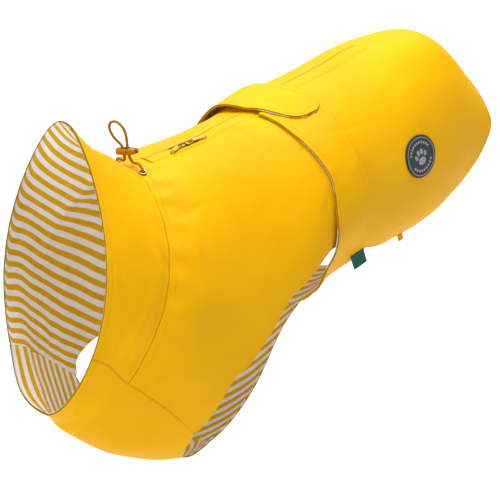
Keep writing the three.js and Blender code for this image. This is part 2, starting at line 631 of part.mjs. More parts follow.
// The cord lock is a short barrel that lies across the two strands, with a spring button in one end.
const LOCK = { length: 20, width: 9.4, high: 8.6, slotLength: 9.8, slotWidth: 5.0 };
const BUTTON = { radius: 2.9, clearance: 0.35, boreDepth: 4.6, length: 4.8, travel: 2.2 };
const lockMiddle = new THREE.Vector3(-21.24, -0.37, 19.88);
const lockLong = new THREE.Vector3(0.62, -0.77, -0.12).normalize();
const lockUp = new THREE.Vector3(-0.1, 0, 1).addScaledVector(lockLong, -new THREE.Vector3(-0.1, 0, 1).dot(lockLong));
function lockFrame() {
  const up = lockUp.clone().normalize();
  const side = up.clone().cross(lockLong);
  return new THREE.Matrix4().makeBasis(lockLong, side, up).setPosition(lockMiddle);
}
function alongX(radius, length, start, sides) {
  const geometry = new THREE.CylinderGeometry(radius, radius, length, sides);
  geometry.rotateZ(-Math.PI / 2);
  geometry.translate(start + length / 2, 0, 0);
  return geometry;
}
function lockSolid() {
  const barrel = plate(
    roundedBox(LOCK.length, LOCK.width, LOCK.width / 2 - 0.3, 5),
    [roundedBox(LOCK.slotLength, LOCK.slotWidth, LOCK.slotWidth / 2 - 0.1, 3)],
    LOCK.high,
    -LOCK.high / 2,
  );
  const end = LOCK.length / 2;
  const bore = alongX(BUTTON.radius + BUTTON.clearance, BUTTON.boreDepth + 2, end - BUTTON.boreDepth, 16);
  return fromManifold(toManifold(barrel).subtract(toManifold(bore)));
}
add('cord_lock', lockSolid(), cordYellow).applyMatrix4(lockFrame());
const buttonStart = LOCK.length / 2 - BUTTON.boreDepth + BUTTON.travel + 0.3;
add('lock_button', alongX(BUTTON.radius, BUTTON.length, buttonStart, 16), badgeBlack).applyMatrix4(lockFrame());

// A small woven label hangs from the band's lower left side, and a short loop from the cape's lower edge.
const LABEL = { width: 20, drop: 16, thick: 1 };
function hangingFrame(station, angle, out) {
  const place = onCoat(station, angle, out);
  const tail = onCoat(station + 0.1, angle, out).sub(onCoat(station - 0.1, angle, out));
  tail.normalize();
  const down = new THREE.Vector3(0, 0, -1).addScaledVector(tail, tail.z).normalize();
  const head = tail.negate();
  const outward = head.clone().cross(down).normalize();
  return new THREE.Matrix4().makeBasis(head, down, outward).setPosition(place);
}
function hangingPlate(width, drop, thick) {
  return plate(moved(roundedBox(width, drop, 0.8, 1), 0, drop / 2 - 0.6), [], thick, 0);
}
add('label', hangingPlate(LABEL.width, LABEL.drop, LABEL.thick), labelGreen)
  .applyMatrix4(hangingFrame(6.85, 134, 4.3));
add('hem_loop', hangingPlate(8, 7, 2), yellow).applyMatrix4(hangingFrame(8.3, 144, 0.1));

export default coat;
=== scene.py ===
"""A dog raincoat in its worn form, without the wearer: coated yellow shell, striped jersey lining."""
import math

import bmesh
import bpy
import numpy as np
from mathutils import Matrix, Vector


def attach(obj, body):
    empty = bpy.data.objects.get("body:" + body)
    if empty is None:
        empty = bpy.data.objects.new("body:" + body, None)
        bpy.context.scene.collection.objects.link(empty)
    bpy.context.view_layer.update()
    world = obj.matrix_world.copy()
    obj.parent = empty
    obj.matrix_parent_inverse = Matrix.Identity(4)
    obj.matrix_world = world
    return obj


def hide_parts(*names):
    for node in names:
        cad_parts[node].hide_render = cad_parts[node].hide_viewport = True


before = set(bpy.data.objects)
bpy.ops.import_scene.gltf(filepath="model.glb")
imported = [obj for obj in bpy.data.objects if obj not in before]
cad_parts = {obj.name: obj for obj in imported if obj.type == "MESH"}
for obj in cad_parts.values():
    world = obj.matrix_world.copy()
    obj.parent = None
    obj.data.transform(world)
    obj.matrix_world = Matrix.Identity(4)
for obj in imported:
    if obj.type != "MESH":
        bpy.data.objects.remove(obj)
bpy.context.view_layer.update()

MM = 0.001
SHELL = 1.1
LINING = 1.0
GAP = 0.3
WALL = SHELL + GAP + LINING
ORIGIN = np.array([-0.32694958, 0.37103095, -2.19669899])


# Camera: the photograph's viewing angle, found from the garment's outline.
AZIMUTH, ELEVATION, ROLL = -39.7711, 20.3026, -11.1578
TARGET = Vector((122.4801, 4.7934, -135.2255)) * MM
DISTANCE = 2.0
FOCAL_PIXELS = 1818.18
FRAME_WIDTH = 500


def place_camera():
    azimuth, elevation, roll = (math.radians(x) for x in (AZIMUTH, ELEVATION, ROLL))
    back = Vector((
        math.sin(azimuth) * math.cos(elevation),
        -math.cos(azimuth) * math.cos(elevation),
        math.sin(elevation),
    ))
    level = Vector((math.cos(azimuth), math.sin(azimuth), 0))
    above = back.cross(level)
    right = math.cos(roll) * level + math.sin(roll) * above
    up = math.cos(roll) * above - math.sin(roll) * level
    lens = bpy.data.cameras.new("photo_camera")
    lens.sensor_width = 36
    lens.lens = 36 * FOCAL_PIXELS / FRAME_WIDTH
    lens.clip_start = 0.05
    camera = bpy.data.objects.new("photo_camera", lens)
    bpy.context.scene.collection.objects.link(camera)
    turn = Matrix((right, up, back)).transposed().to_4x4()
    camera.matrix_world = Matrix.Translation(TARGET + back * DISTANCE) @ turn
    bpy.context.scene.camera = camera


place_camera()


# The body surface that every cloth piece lies on, as in the part's source. Millimetres.
# Columns: xTop, zTop, xBottom, zBottom, half, round, low
STATIONS = np.array([
    [-89.4, 74.5, -190.5, -204.9, 85.4, -0.07, 0.03],
    [-67.6, 38.9, -176.9, -220.2, 95.3, -0.07, -0.04],
    [-23.8, 4.0, -169.9, -236.2, 105.1, -0.08, -0.05],
    [17.1, 0.5, -116.6, -288.3, 112.4, -0.03, -0.02],
    [64.9, -0.9, -40.5, -322.2, 113.3, -0.01, 0.04],
    [111.9, 1.8, 41.0, -292.4, 113.7, -0.01, 0.03],
    [154.5, 4.0, 131.9, -222.0, 116.8, 0, -0.04],
    [196.6, 11.3, 197.9, -200.7, 117.6, 0.03, -0.01],
    [266.0, 13.2, 254.6, -199.3, 108.3, 0.04, 0.04],
    [347.2, 20.5, 324.6, -195.4, 99.0, 0.04, 0.05],
    [415.1, 10.6, 395.7, -185.6, 85.2, 0.03, 0.05],
    [445.9, -38.2, 464.6, -171.6, 74.0, 0.02, 0.05],
])

STATION_LENGTH = 62
DEGREE_LENGTH = 1.95
FOLD_SPREAD = 1.5

# Columns: at, angle, turn, long, wide, high
FOLDS = [
    (2.9, 112, -28, 46, 11, 3.0), (3.15, 100, -22, 40, 12, -2.4), (2.75, 88, -16, 34, 12, 2.4),
    (2.95, 150, -35, 50, 13, 2.6), (2.5, 30, 22, 26, 9, 2.6), (2.45, 48, 14, 24, 9, -2.2),
    (2.5, -32, -22, 26, 9, 2.4), (2.9, -112, 28, 46, 12, 2.6), (5.3, 20, 35, 34, 12, 2.0),
    (6.5, 122, 80, 44, 12, 2.4), (8.85, 4, 60, 24, 8, -2.4), (0, -146, 0, 60, 24, 7.0),
    (6.45, 126, 90, 42, 40, -8.5), (6.45, -126, 90, 42, 40, -8.5), (9.2, 142, 0, 52, 20, 4.4),
    (9.2, -142, 0, 52, 20, 4.4), (8.3, -14, 0, 60, 24, 3.4), (9.6, 30, 75, 34, 16, 2.2),
    (3.5, -20, 0, 115, 16, 9.6), (1.5, -12, 0, 52, 14, 5.6), (2.12, -15, 0, 17, 9, -4.2),
    (4.6, 1, 0, 170, 10, -2.0),
]


def station_at(station):
    last = len(STATIONS) - 1
    first = np.clip(np.floor(station).astype(int), 0, last - 1)
    t = (station - first)[..., None]
    p0, p1, p2, p3 = (STATIONS[np.clip(first + k, 0, last)] for k in (-1, 0, 1, 2))
    return 0.5 * (2 * p1 + (p2 - p0) * t + (2 * p0 - 5 * p1 + 4 * p2 - p3) * t * t
                  + (3 * p1 - p0 - 3 * p2 + p3) * t ** 3)


def smooth_body(station, angle):
    row = station_at(station)
    turn = np.radians(angle)
    across = np.sin(turn)
    side = (across + row[..., 5] * np.sin(3 * turn)) / (1 - row[..., 5])
    down = (1 - np.cos(turn)) / 2 + row[..., 6] * across ** 2
    return np.stack([
        row[..., 0] + (row[..., 2] - row[..., 0]) * down,
        -row[..., 4] * side,
        row[..., 1] + (row[..., 3] - row[..., 1]) * down,
    ], axis=-1)


def normal_of(surface, station, angle):
    along = surface(station + 0.02, angle) - surface(station - 0.02, angle)
    around = surface(station, angle + 0.5) - surface(station, angle - 0.5)
    normal = np.cross(around, along)
    return normal / np.linalg.norm(normal, axis=-1, keepdims=True)


def angle_between(first, second):
    return (first - second + 540) % 360 - 180


def fold_sum(folds, station, angle, spread):
    height = np.zeros(np.broadcast(station, angle).shape)
    for at, fold_angle, turn, long, wide, high in folds:
        along = (station - at) * STATION_LENGTH
        around = angle_between(angle, fold_angle) * DEGREE_LENGTH
        c, s = math.cos(math.radians(turn)), math.sin(math.radians(turn))
        on_fold = along * c + around * s
        off_fold = around * c - along * s
        height += high * np.exp(-(on_fold / long) ** 2 - (off_fold / (wide * spread)) ** 2)
    return height


def casing_height(station, from_top):
    drawn = 1.6 + 1.4 * np.exp(-(from_top / 40) ** 2)
    puckered = 0.9 * np.cos(np.radians(from_top * 27))
    cased = 1 / (1 + np.exp((from_top - 112) / 5))
    return cased * (puckered * np.exp(-((station - 2.25) / 0.3) ** 2)
                    - drawn * np.exp(-((station - 2) / 0.2) ** 2))


def folded_body(station, angle):
    place = smooth_body(station, angle)
    out = normal_of(smooth_body, station, angle)
    height = fold_sum(FOLDS, station, angle, FOLD_SPREAD)
    height = height + casing_height(station, np.abs(angle_between(angle, 0)))
    return place + out * height[..., None]


def on_coat(station, angle, out):
    """Places on the coat in millimetres, out from the outer face of the shell."""
    station, angle, out = (np.asarray(x, float) for x in (station, angle, out))
    station, angle, out = np.broadcast_arrays(station, angle, out)
    return folded_body(station, angle) + normal_of(folded_body, station, angle) * out[..., None] - ORIGIN


# Small soft creases, too low for the solids: uneven, and on the hidden sides too.
def small_creases():
    rng = np.random.default_rng(41)
    creases = []
    for _ in range(150):
        at = rng.uniform(0.1, 10.9)
        angle = rng.uniform(-180, 180)
        near_neck = math.exp(-((at - 2.6) / 0.9) ** 2)
        high = rng.uniform(0.35, 0.8) * (1 + 1.2 * near_neck) * rng.choice([-1, 1])
        turn = rng.normal(90 if rng.random() < 0.55 else 20, 25)
        creases.append((at, angle, turn, rng.uniform(12, 34), rng.uniform(3.5, 8), high))
    return creases


CREASES = small_creases()


# Panels as tables, the same as in the part's source.
# Columns: middle station, left edge station and angle, right edge station and angle
CAPE = np.array([
    [2.0, 2.0, 126.0, 2.0, 126.0], [2.25, 2.25, 126.3, 2.2, 125.8], [2.55, 2.6, 127.5, 2.45, 125.3],
    [2.85, 3.0, 130.5, 2.7, 125.8], [3.2, 3.43, 136.3, 2.97, 127.5], [3.5, 3.54, 128.0, 3.05, 121.0],
    [3.8, 3.6, 118.0, 3.27, 114.0], [4.15, 3.72, 108.5, 3.55, 107.5], [4.5, 4.05, 101.5, 3.95, 101.5],
    [4.85, 4.42, 95.5, 4.4, 96.0], [5.2, 4.86, 91.5, 4.86, 93.0], [5.55, 5.25, 96.0, 5.25, 96.5],
    [5.95, 5.65, 104.0, 5.65, 104.0], [6.5, 6.2, 116.0, 6.2, 116.0], [7.1, 6.9, 134.0, 6.9, 134.0],
    [7.7, 7.6, 144.0, 7.6, 144.0], [8.3, 8.4, 149.0, 8.4, 149.0], [8.9, 9.1, 149.0, 9.1, 149.0],
    [9.5, 9.62, 144.5, 9.62, 144.5], [10.0, 10.05, 134.0, 10.05, 134.0], [10.5, 10.42, 114.0, 10.42, 114.0],
    [11.0, 10.82, 90.0, 10.82, 90.0],
])
SEAM_COLUMNS = 5
COLLAR = np.array([
    [0, 0, 118.5, 0, 123.0], [0.3, 0.3, 120.0, 0.3, 124.5], [0.8, 0.8, 122.5, 0.8, 126.0],
    [1.3, 1.3, 124.5, 1.3, 126.8], [1.7, 1.7, 125.5, 1.7, 126.6], [2.0, 2.0, 126.0, 2.0, 126.0],
])
CHEST_MIDDLE = [0, 0.3, 0.8, 1.3, 1.7, 2.0, 2.3, 2.6, 2.9, 3.15, 3.5, 3.82, 4.1, 4.3]
CHEST_LEG_EDGES = np.array([
    [3.5, 147.0, 3.12, 138.0], [3.68, 158.5, 3.4, 150.0], [3.96, 164.5, 3.8, 160.5], [4.3, 164.0, 4.3, 164.0],
])
CHEST = np.column_stack([CHEST_MIDDLE, np.vstack([COLLAR[:, 1:], CAPE[1:SEAM_COLUMNS, 1:], CHEST_LEG_EDGES])])
CHEST_SEAM_ROWS = len(COLLAR) + SEAM_COLUMNS - 1
BELLY = np.array([
    [4.3, 4.3, 163.8, 4.3, 163.8], [4.58, 4.58, 160.5, 4.58, 160.5], [4.9, 4.9, 159.0, 4.9, 159.0],
    [5.25, 5.25, 159.5, 5.25, 159.5], [5.65, 5.65, 161.0, 5.65, 161.0], [6.02, 6.02, 158.0, 6.02, 158.0],
])
# Columns: angle, front, rear, front lift, rear lift
BAND = np.array([
    [12, 5.7, 6.98, 4.0, 4.0], [24, 5.76, 7.02, 4.0, 4.0], [36, 5.82, 6.98, 4.1, 4.0],
    [48, 5.9, 6.88, 4.4, 4.0], [60, 5.97, 6.86, 4.0, 4.0], [72, 6.02, 6.88, 4.1, 4.0],
    [83, 5.97, 6.93, 4.2, 4.0], [93, 5.93, 6.92, 6.2, 4.0], [103, 5.93, 6.93, 6.6, 4.1],
    [114, 5.98, 6.98, 5.4, 4.2], [126, 6.0, 7.04, 4.0, 4.1], [138, 6.02, 7.1, 4.0, 4.0],
    [148, 6.02, 7.1, 1.2, 1.4], [158, 6.02, 7.06, 0, 0], [169, 6.02, 7.02, 0, 0], [180, 6.02, 7.0, 0, 0],
    [191, 6.02, 7.02, 0, 0], [202, 6.02, 7.06, 0, 0], [212, 6.02, 7.1, 1.2, 1.4], [222, 6.02, 7.1, 4.0, 4.0],
    [234, 6.0, 7.04, 4.0, 4.1], [246, 5.98, 6.98, 4.6, 4.1], [258, 5.95, 6.93, 4.6, 4.1],
    [270, 5.93, 6.93, 4.6, 4.1], [282, 5.95, 6.93, 5.0, 4.2], [294, 5.95, 6.93, 5.6, 4.1],
    [306, 5.92, 6.94, 6.0, 4.4], [318, 5.86, 6.95, 7.0, 5.2], [330, 5.78, 6.97, 8.4, 6.0],
    [342, 5.7, 6.98, 9.4, 6.6], [352, 5.68, 6.98, 9.0, 7.2], [361, 5.7, 6.98, 8.4, 7.2],
    [369, 5.78, 6.98, 7.7, 7.1], [376, 5.87, 6.99, 7.5, 7.1], [382, 5.96, 7.0, 7.4, 7.1],
    [387, 6.07, 6.99, 7.3, 7.1], [391, 6.22, 6.92, 7.2, 7.1], [393.5, 6.42, 6.76, 7.1, 7.1],
])
EDGE_SWEEP = 2.2
SEAM_TRIM = 0.03


def table_at(table, t):
    """Rows between the table's rows, by cubic steps that don't overshoot its straight runs."""
    last = len(table) - 1
    first = np.clip(np.floor(t).astype(int), 0, last - 1)
    f = (t - first)[:, None]
    p0, p1, p2, p3 = (table[np.clip(first + k, 0, last)] for k in (-1, 0, 1, 2))
    before, step, after = p1 - p0, p2 - p1, p3 - p2

    def slope(a, b):
        return np.where(a * b > 0, 2 * a * b / np.where(a + b == 0, 1, a + b), 0.0)

    m1 = np.where((first == 0)[:, None], step, slope(before, step))
    m2 = np.where((first == last - 1)[:, None], step, slope(step, after))
    return (p1 * (1 + 2 * f) * (1 - f) ** 2 + m1 * f * (1 - f) ** 2
            + p2 * f ** 2 * (3 - 2 * f) + m2 * f ** 2 * (f - 1))


EDGE_STEPS = [0.35, 0.8, 1.3, 1.8, 2.4, 3.2, 4.4, 5.6, 6.6, 7.6, 9.0]


def spaced(length, step):
    """Parameters from 0 to 1 for a run of that length, close together at both ends."""
    inner = np.arange(11.5, length - 11, step)
    inner = 11.5 + (inner - 11.5) * ((length - 23) / max(inner[-1] - 11.5, 1e-6))
    marks = np.concatenate([[0], EDGE_STEPS, inner, [length - e for e in reversed(EDGE_STEPS)], [length]])
    return marks / length


def over_back(table, rows_at, ways, trim):
    rows = table_at(table, rows_at)
    way = 2 * ways[None, :] - 1
    reach = np.abs(way)
    edge_station = np.where(way < 0, rows[:, 3:4], rows[:, 1:2])
    edge_angle = np.where(way < 0, rows[:, 4:5], rows[:, 2:3]) - trim[:, None]
    return rows[:, :1] + (edge_station - rows[:, :1]) * reach ** EDGE_SWEEP, way * edge_angle


def under_body(table, rows_at, ways, trim):
    rows = table_at(table, rows_at)
    way = ways[None, :]
    start = rows[:, 2:3] + trim[:, None]
    end = 360 - rows[:, 4:5] - trim[:, None]
    edge = np.where(way < 0.5, rows[:, 1:2], rows[:, 3:4])
    reach = np.abs(2 * way - 1)
    return rows[:, :1] + (edge - rows[:, :1]) * reach ** EDGE_SWEEP, start + (end - start) * way


def arc_lengths(points, axis):
    steps = np.linalg.norm(np.diff(points, axis=axis), axis=-1)
    total = np.cumsum(steps, axis=axis)
    zero = np.zeros_like(np.take(total, [0], axis=axis))
    return np.concatenate([zero, total], axis=axis)


class Panel:
    """A cut piece laid on the body: its grid of stations and angles, and its distance from each edge."""

    def __init__(self, station, angle, lift=None):
        self.station, self.angle = station, angle
        self.lift = np.zeros_like(station) if lift is None else lift
        self.base = folded_body(station, angle)
        self.normal = normal_of(folded_body, station, angle)
        self.along = arc_lengths(self.base, 0)
        self.around = arc_lengths(self.base, 1)
        self.to_start, self.to_end = self.along, self.along[-1:] - self.along
        self.to_first, self.to_last = self.around, self.around[:, -1:] - self.around
        self.crease = fold_sum(CREASES, station, angle, 1.0)

    def places(self, out):
        return self.base + self.normal * (out + self.lift + self.crease)[..., None] - ORIGIN


def add_mesh(name, points, faces, uvs=None, smooth=True):
    mesh = bpy.data.meshes.new(name)
    mesh.from_pydata((np.asarray(points) * MM).tolist(), [], faces)
    if uvs is not None:
        layer = mesh.uv_layers.new(name="cloth")
        loops = np.empty(len(mesh.loops), int)
        mesh.loops.foreach_get("vertex_index", loops)
        layer.data.foreach_set("uv", np.asarray(uvs, np.float32)[loops].ravel())
    mesh.update()
    if smooth:
        mesh.polygons.foreach_set("use_smooth", [True] * len(mesh.polygons))
    piece = bpy.data.objects.new(name, mesh)
    bpy.context.scene.collection.objects.link(piece)
    return piece


def wall_faces(columns, rows):
    """Quads of a wall: outer grid first, then the inner grid, then the strips that join them all round."""
    count = columns * rows
    index = np.arange(count).reshape(columns, rows)

    def strip(a, b, c, d):
        return np.stack([a.ravel(), b.ravel(), c.ravel(), d.ravel()], axis=1)

    outer = strip(index[:-1, :-1], index[1:, :-1], index[1:, 1:], index[:-1, 1:])
    faces = [outer[:, ::-1], outer + count]
    for edge, flip in ((index[:, 0], True), (index[:, -1], False), (index[0], False), (index[-1], True)):
        ring = strip(edge[:-1], edge[1:], edge[1:] + count, edge[:-1] + count)
        faces.append(ring[:, ::-1] if flip else ring)
    return np.concatenate(faces)


def wall(name, panel, outer, inner, uv):
    points = np.concatenate([panel.places(outer).reshape(-1, 3), panel.places(inner).reshape(-1, 3)])
    faces = wall_faces(*panel.station.shape)
    a, b, c = (points[faces[:, k]] for k in (0, 1, 2))
    volume = np.einsum("ij,ij->", a, np.cross(b, c))
    if volume < 0:
        faces = faces[:, ::-1]
    flat = np.stack([uv[0], uv[1]], axis=-1).reshape(-1, 2) * MM
    return add_mesh(name, points, faces.tolist(), np.concatenate([flat, flat]))


# A free edge is turned over the lining: the shell wraps it in a round edge and shows as a narrow lip inside.
EDGE_THICK = WALL + 0.1
EDGE_RADIUS = EDGE_THICK / 2 - 0.1
LIP = 1.1
STITCH_IN = 6.0
SEAM_DEEP, SEAM_SHALLOW = 0.8, 0.35


def shell_faces(free, seams):
    """Outer and inner offsets of the shell, by its distance from free edges and from seams."""
    drop = EDGE_RADIUS - np.sqrt(np.maximum(EDGE_RADIUS ** 2 - np.clip(EDGE_RADIUS - free, 0, None) ** 2, 0))
    stitched = -0.28 * np.exp(-((free - STITCH_IN) / 0.9) ** 2)
    padded = 0.15 * np.exp(-((free - 2.6) / 2.2) ** 2)
    outer = -drop + stitched + padded
    for distance, depth in seams:
        groove = depth * np.exp(-(distance / 0.8) ** 2)
        ridge = 0.3 * depth * np.exp(-((distance - 2.4) / 1.6) ** 2)
        outer = outer - groove + ridge
    inside = -EDGE_THICK + drop
    inner = np.where(free < LIP, inside, -SHELL)
    return outer, np.minimum(inner, outer - 0.05)


def edge_ripple(panel, free, height, seed):
    """Uneven ripples where a stitched edge draws the cloth in."""
    rng = np.random.default_rng(seed)
    run = panel.along + 0.61 * panel.around
    waves = (np.sin(run / rng.uniform(2.2, 6.0) + rng.uniform(0, 6.28)) * rng.uniform(0.4, 1)
             for _ in range(5))
    return height * sum(waves) / 2 * np.exp(-(free / 9) ** 2)


def make_panel(kind, table, length, width, step, seam_until=0.0, ends=(0.0, 0.0)):
    along = spaced(length, step) * (len(table) - 1)
    across = spaced(width, step)
    trim = np.where(along < seam_until, SEAM_TRIM, 0.0)
    station, angle = kind(table, along, across, trim)
    moved_start = np.where(along == 0, ends[0], 0)[:, None]
    moved_end = np.where(along == along[-1], ends[1], 0)[:, None]
    return Panel(station + moved_start + moved_end, angle), along


def band_panel(length, width, step):
    along = spaced(length, step) * (len(BAND) - 1)
    across = spaced(width, step)
    rows = table_at(BAND, along)
    station = rows[:, 1:2] + (rows[:, 2:3] - rows[:, 1:2]) * across[None, :]
    angle = np.repeat(rows[:, 0:1], len(across), axis=1)
    lift = rows[:, 3:4] + (rows[:, 4:5] - rows[:, 3:4]) * across[None, :]
    return Panel(station, angle, lift)


# Materials
def linear(hex_colour, alpha=1.0):
    def channel(text):
        value = int(text, 16) / 255
        return value / 12.92 if value <= 0.04045 else ((value + 0.055) / 1.055) ** 2.4
    return (channel(hex_colour[1:3]), channel(hex_colour[3:5]), channel(hex_colour[5:7]), alpha)


def node(tree, kind, settings=None, links=None):
    """Adds a node, sets its properties or sockets, and links sockets to (node, output)."""
    made = tree.nodes.new(kind)
    for key, value in (settings or {}).items():
        if isinstance(key, str) and hasattr(made, key):
            setattr(made, key, value)
        else:
            made.inputs[key].default_value = value
    for key, (source, output) in (links or {}).items():
        tree.links.new(source.outputs[output], made.inputs[key])
    return made


def start_material(name):
    material = bpy.data.materials.new(name)
    material.use_nodes = True
    tree = material.node_tree
    tree.nodes.clear()
    shader = node(tree, "ShaderNodeBsdfPrincipled")
    node(tree, "ShaderNodeOutputMaterial", links={"Surface": (shader, "BSDF")})
    return material, tree, shader


def ramp(tree, source, output, low, high, low_colour, high_colour):
    made = node(tree, "ShaderNodeValToRGB", links={"Fac": (source, output)})
    made.color_ramp.elements[0].position = low
    made.color_ramp.elements[0].color = low_colour
    made.color_ramp.elements[1].position = high
    made.color_ramp.elements[1].color = high_colour
    return made


def coated_polyester(name, colour, shade, edge):
    """Polyester with a polyurethane coat: smooth and satin, with a fine thread grain and soft creases; its
    turned edges darkened with painted shade.
    """
    material, tree, shader = start_material(name)
    coords = node(tree, "ShaderNodeTexCoord")
    patches = node(tree, "ShaderNodeTexNoise", {"Scale": 9.0, "Detail": 3.0, "Roughness": 0.5},
                   {"Vector": (coords, "Object")})
    tone = ramp(tree, patches, "Fac", 0.35, 0.7, linear(shade), linear(colour))
    # Painted shade: the turned edges are mixed toward the darker edge colour, standing in for the fold's
    # shadow.
    turned = node(tree, "ShaderNodeAttribute", {"attribute_name": "edge_painted_shade"})
    painted = node(tree, "ShaderNodeMix", {"data_type": "RGBA", 7: linear(edge)},
                   {0: (turned, "Fac"), 6: (tone, "Color")})
    tree.links.new(painted.outputs[2], shader.inputs["Base Color"])
    shader.inputs["Roughness"].default_value = 0.5
    shader.inputs["Specular IOR Level"].default_value = 0.06
    uv = node(tree, "ShaderNodeUVMap", {"uv_map": "cloth"})
    # Threads are really 0.25 mm apart; they are drawn 0.9 mm apart so that they show.
    warp = node(tree, "ShaderNodeTexWave", {"wave_type": "BANDS", "bands_direction": "X", "Scale": 349.0},
                {"Vector": (uv, "UV")})
    weft = node(tree, "ShaderNodeTexWave", {"wave_type": "BANDS", "bands_direction": "Y", "Scale": 349.0},
                {"Vector": (uv, "UV")})
    weave = node(tree, "ShaderNodeMath", {"operation": "MULTIPLY"}, {0: (warp, "Fac"), 1: (weft, "Fac")})
    thread_bump = node(tree, "ShaderNodeBump", {"Strength": 0.12, "Distance": 0.0001},
                       {"Height": (weave, "Value")})
    creases = node(tree, "ShaderNodeTexNoise",
                   {"Scale": 42.0, "Detail": 4.0, "Roughness": 0.55, "Distortion": 0.6},
                   {"Vector": (coords, "Object")})
    crease_bump = node(tree, "ShaderNodeBump", {"Strength": 0.4, "Distance": 0.0014},
                       {"Height": (creases, "Fac"), "Normal": (thread_bump, "Normal")})
    tree.links.new(crease_bump.outputs["Normal"], shader.inputs["Normal"])
    return material


STRIPE_PITCH = 12.0


def striped_jersey(name, across, yellow, white):
    """Cotton jersey with yarn-dyed stripes, matt and faintly ribbed, along the piece's own threads."""
    material, tree, shader = start_material(name)
    uv = node(tree, "ShaderNodeUVMap", {"uv_map": "cloth"})
    parts = node(tree, "ShaderNodeSeparateXYZ", links={"Vector": (uv, "UV")})
    wander = node(tree, "ShaderNodeTexNoise", {"Scale": 28.0, "Detail": 2.0}, {"Vector": (uv, "UV")})
    drift = node(tree, "ShaderNodeMath", {"operation": "MULTIPLY_ADD", 1: 0.0022, 2: -0.0011},
                 {0: (wander, "Fac")})
    place = node(tree, "ShaderNodeMath", {"operation": "ADD"}, {0: (parts, across), 1: (drift, "Value")})
    turns = node(tree, "ShaderNodeMath", {"operation": "MULTIPLY", 1: 2 * math.pi * 1000 / STRIPE_PITCH},
                 {0: (place, "Value")})
    wave = node(tree, "ShaderNodeMath", {"operation": "SINE"}, {0: (turns, "Value")})
    stripe = node(tree, "ShaderNodeMath", {"operation": "MULTIPLY_ADD", 1: 3.2, 2: 0.5, "use_clamp": True},
                  {0: (wave, "Value")})
    mottle = node(tree, "ShaderNodeTexNoise", {"Scale": 60.0, "Detail": 3.0}, {"Vector": (uv, "UV")})
    dyed = ramp(tree, mottle, "Fac", 0.3, 0.75, linear(yellow[0]), linear(yellow[1]))
    plain = ramp(tree, mottle, "Fac", 0.3, 0.75, linear(white[0]), linear(white[1]))
    mix = node(tree, "ShaderNodeMix", {"data_type": "RGBA"},
               {0: (stripe, "Value"), 6: (dyed, "Color"), 7: (plain, "Color")})
    tree.links.new(mix.outputs[2], shader.inputs["Base Color"])
    shader.inputs["Roughness"].default_value = 0.85
    shader.inputs["Specular IOR Level"].default_value = 0.1
    # Knit wales are really 0.7 mm apart; they are drawn 1.2 mm apart so that they show.
    wales = node(tree, "ShaderNodeTexWave",
                 {"wave_type": "BANDS", "bands_direction": "DIAGONAL", "Scale": 200.0},
                 {"Vector": (uv, "UV")})
    bump = node(tree, "ShaderNodeBump", {"Strength": 0.25, "Distance": 0.0002}, {"Height": (wales, "Fac")})
    tree.links.new(bump.outputs["Normal"], shader.inputs["Normal"])
    return material


def plain_material(name, colour, roughness, metallic=0.0, grain=400.0, depth=0.00005, specular=0.5):
    """One colour with a fine uneven grain."""
    material, tree, shader = start_material(name)
    coords = node(tree, "ShaderNodeTexCoord")
    noise = node(tree, "ShaderNodeTexNoise", {"Scale": grain, "Detail": 3.0}, {"Vector": (coords, "Object")})
    dark = tuple(0.82 * c for c in linear(colour)[:3]) + (1.0,)
    tone = ramp(tree, noise, "Fac", 0.3, 0.7, dark, linear(colour))
    tree.links.new(tone.outputs["Color"], shader.inputs["Base Color"])
    shader.inputs["Roughness"].default_value = roughness
    shader.inputs["Metallic"].default_value = metallic
    shader.inputs["Specular IOR Level"].default_value = specular
    bump = node(tree, "ShaderNodeBump", {"Strength": 0.4, "Distance": depth}, {"Height": (noise, "Fac")})
    tree.links.new(bump.outputs["Normal"], shader.inputs["Normal"])
    return material


# The third colour is painted shade: the fold's shadow along the turned edges.
shell_cloth = coated_polyester("coated_polyester", "#f0b503", "#e8aa02", "#96700c")
YELLOW_YARN = ("#dba908", "#e6b810")
WHITE_YARN = ("#eeeef4", "#f8f8fe")
lengthwise_jersey = striped_jersey("jersey_stripes_lengthwise", "Y", YELLOW_YARN, WHITE_YARN)
crosswise_jersey = striped_jersey("jersey_stripes_crosswise", "X", YELLOW_YARN, WHITE_YARN)
# Matt thread of the shell's own colour
yellow_thread = plain_material("spun_polyester_thread", "#ecb90e", 0.7)
# Dull olive-yellow braid
braided_cord = plain_material("braided_elastic_cord", "#ac8216", 0.75, grain=900, specular=0.25)
# Satin plastic, a little browner than the cloth
moulded_lock = plain_material("moulded_acetal_yellow", "#c48c0c", 0.45, specular=0.3)
# Dark end of the lock
moulded_button = plain_material("moulded_acetal_dark", "#7a5c1c", 0.4)
# Warm metal with soft glints
antique_brass = plain_material("antique_brass", "#d9b347", 0.34, metallic=1.0, grain=600)
# Small grey glint at each eyelet
nickel = plain_material("nickel_plate", "#97958c", 0.3, metallic=1.0)
# Soft black disc, then its paler raised marks
silicone_black = plain_material("moulded_silicone_black", "#26282c", 0.55)
silicone_grey = plain_material("moulded_silicone_grey", "#9a9ea2", 0.5)
# Deep green ribbon
woven_green = plain_material("woven_label_green", "#17634a", 0.8, grain=1500)
# Dark brown line inside the slit
zip_tape = plain_material("zip_tape_brown", "#4c3509", 0.8, grain=1200)


def finish_piece(piece, material, body, replaces=()):
    piece.data.materials.clear()
    piece.data.materials.append(material)
    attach(piece, body)
    if replaces:
        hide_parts(*replaces)
    return piece


# Cloth pieces
STEP = 2.8
collar, _ = make_panel(over_back, COLLAR, 120, 420, 2.5, seam_until=99, ends=(0, -0.006))
cape, cape_rows = make_panel(over_back, CAPE, 460, 590, STEP, seam_until=SEAM_COLUMNS - 0.5, ends=(0.006, 0))
chest, chest_rows = make_panel(under_body, CHEST, 250, 200, 2.6, seam_until=CHEST_SEAM_ROWS - 0.5,
                               ends=(0, -0.003))
belly, _ = make_panel(under_body, BELLY, 118, 88, 2.4, ends=(0.003, -0.004))
band = band_panel(705, 66, 2.5)


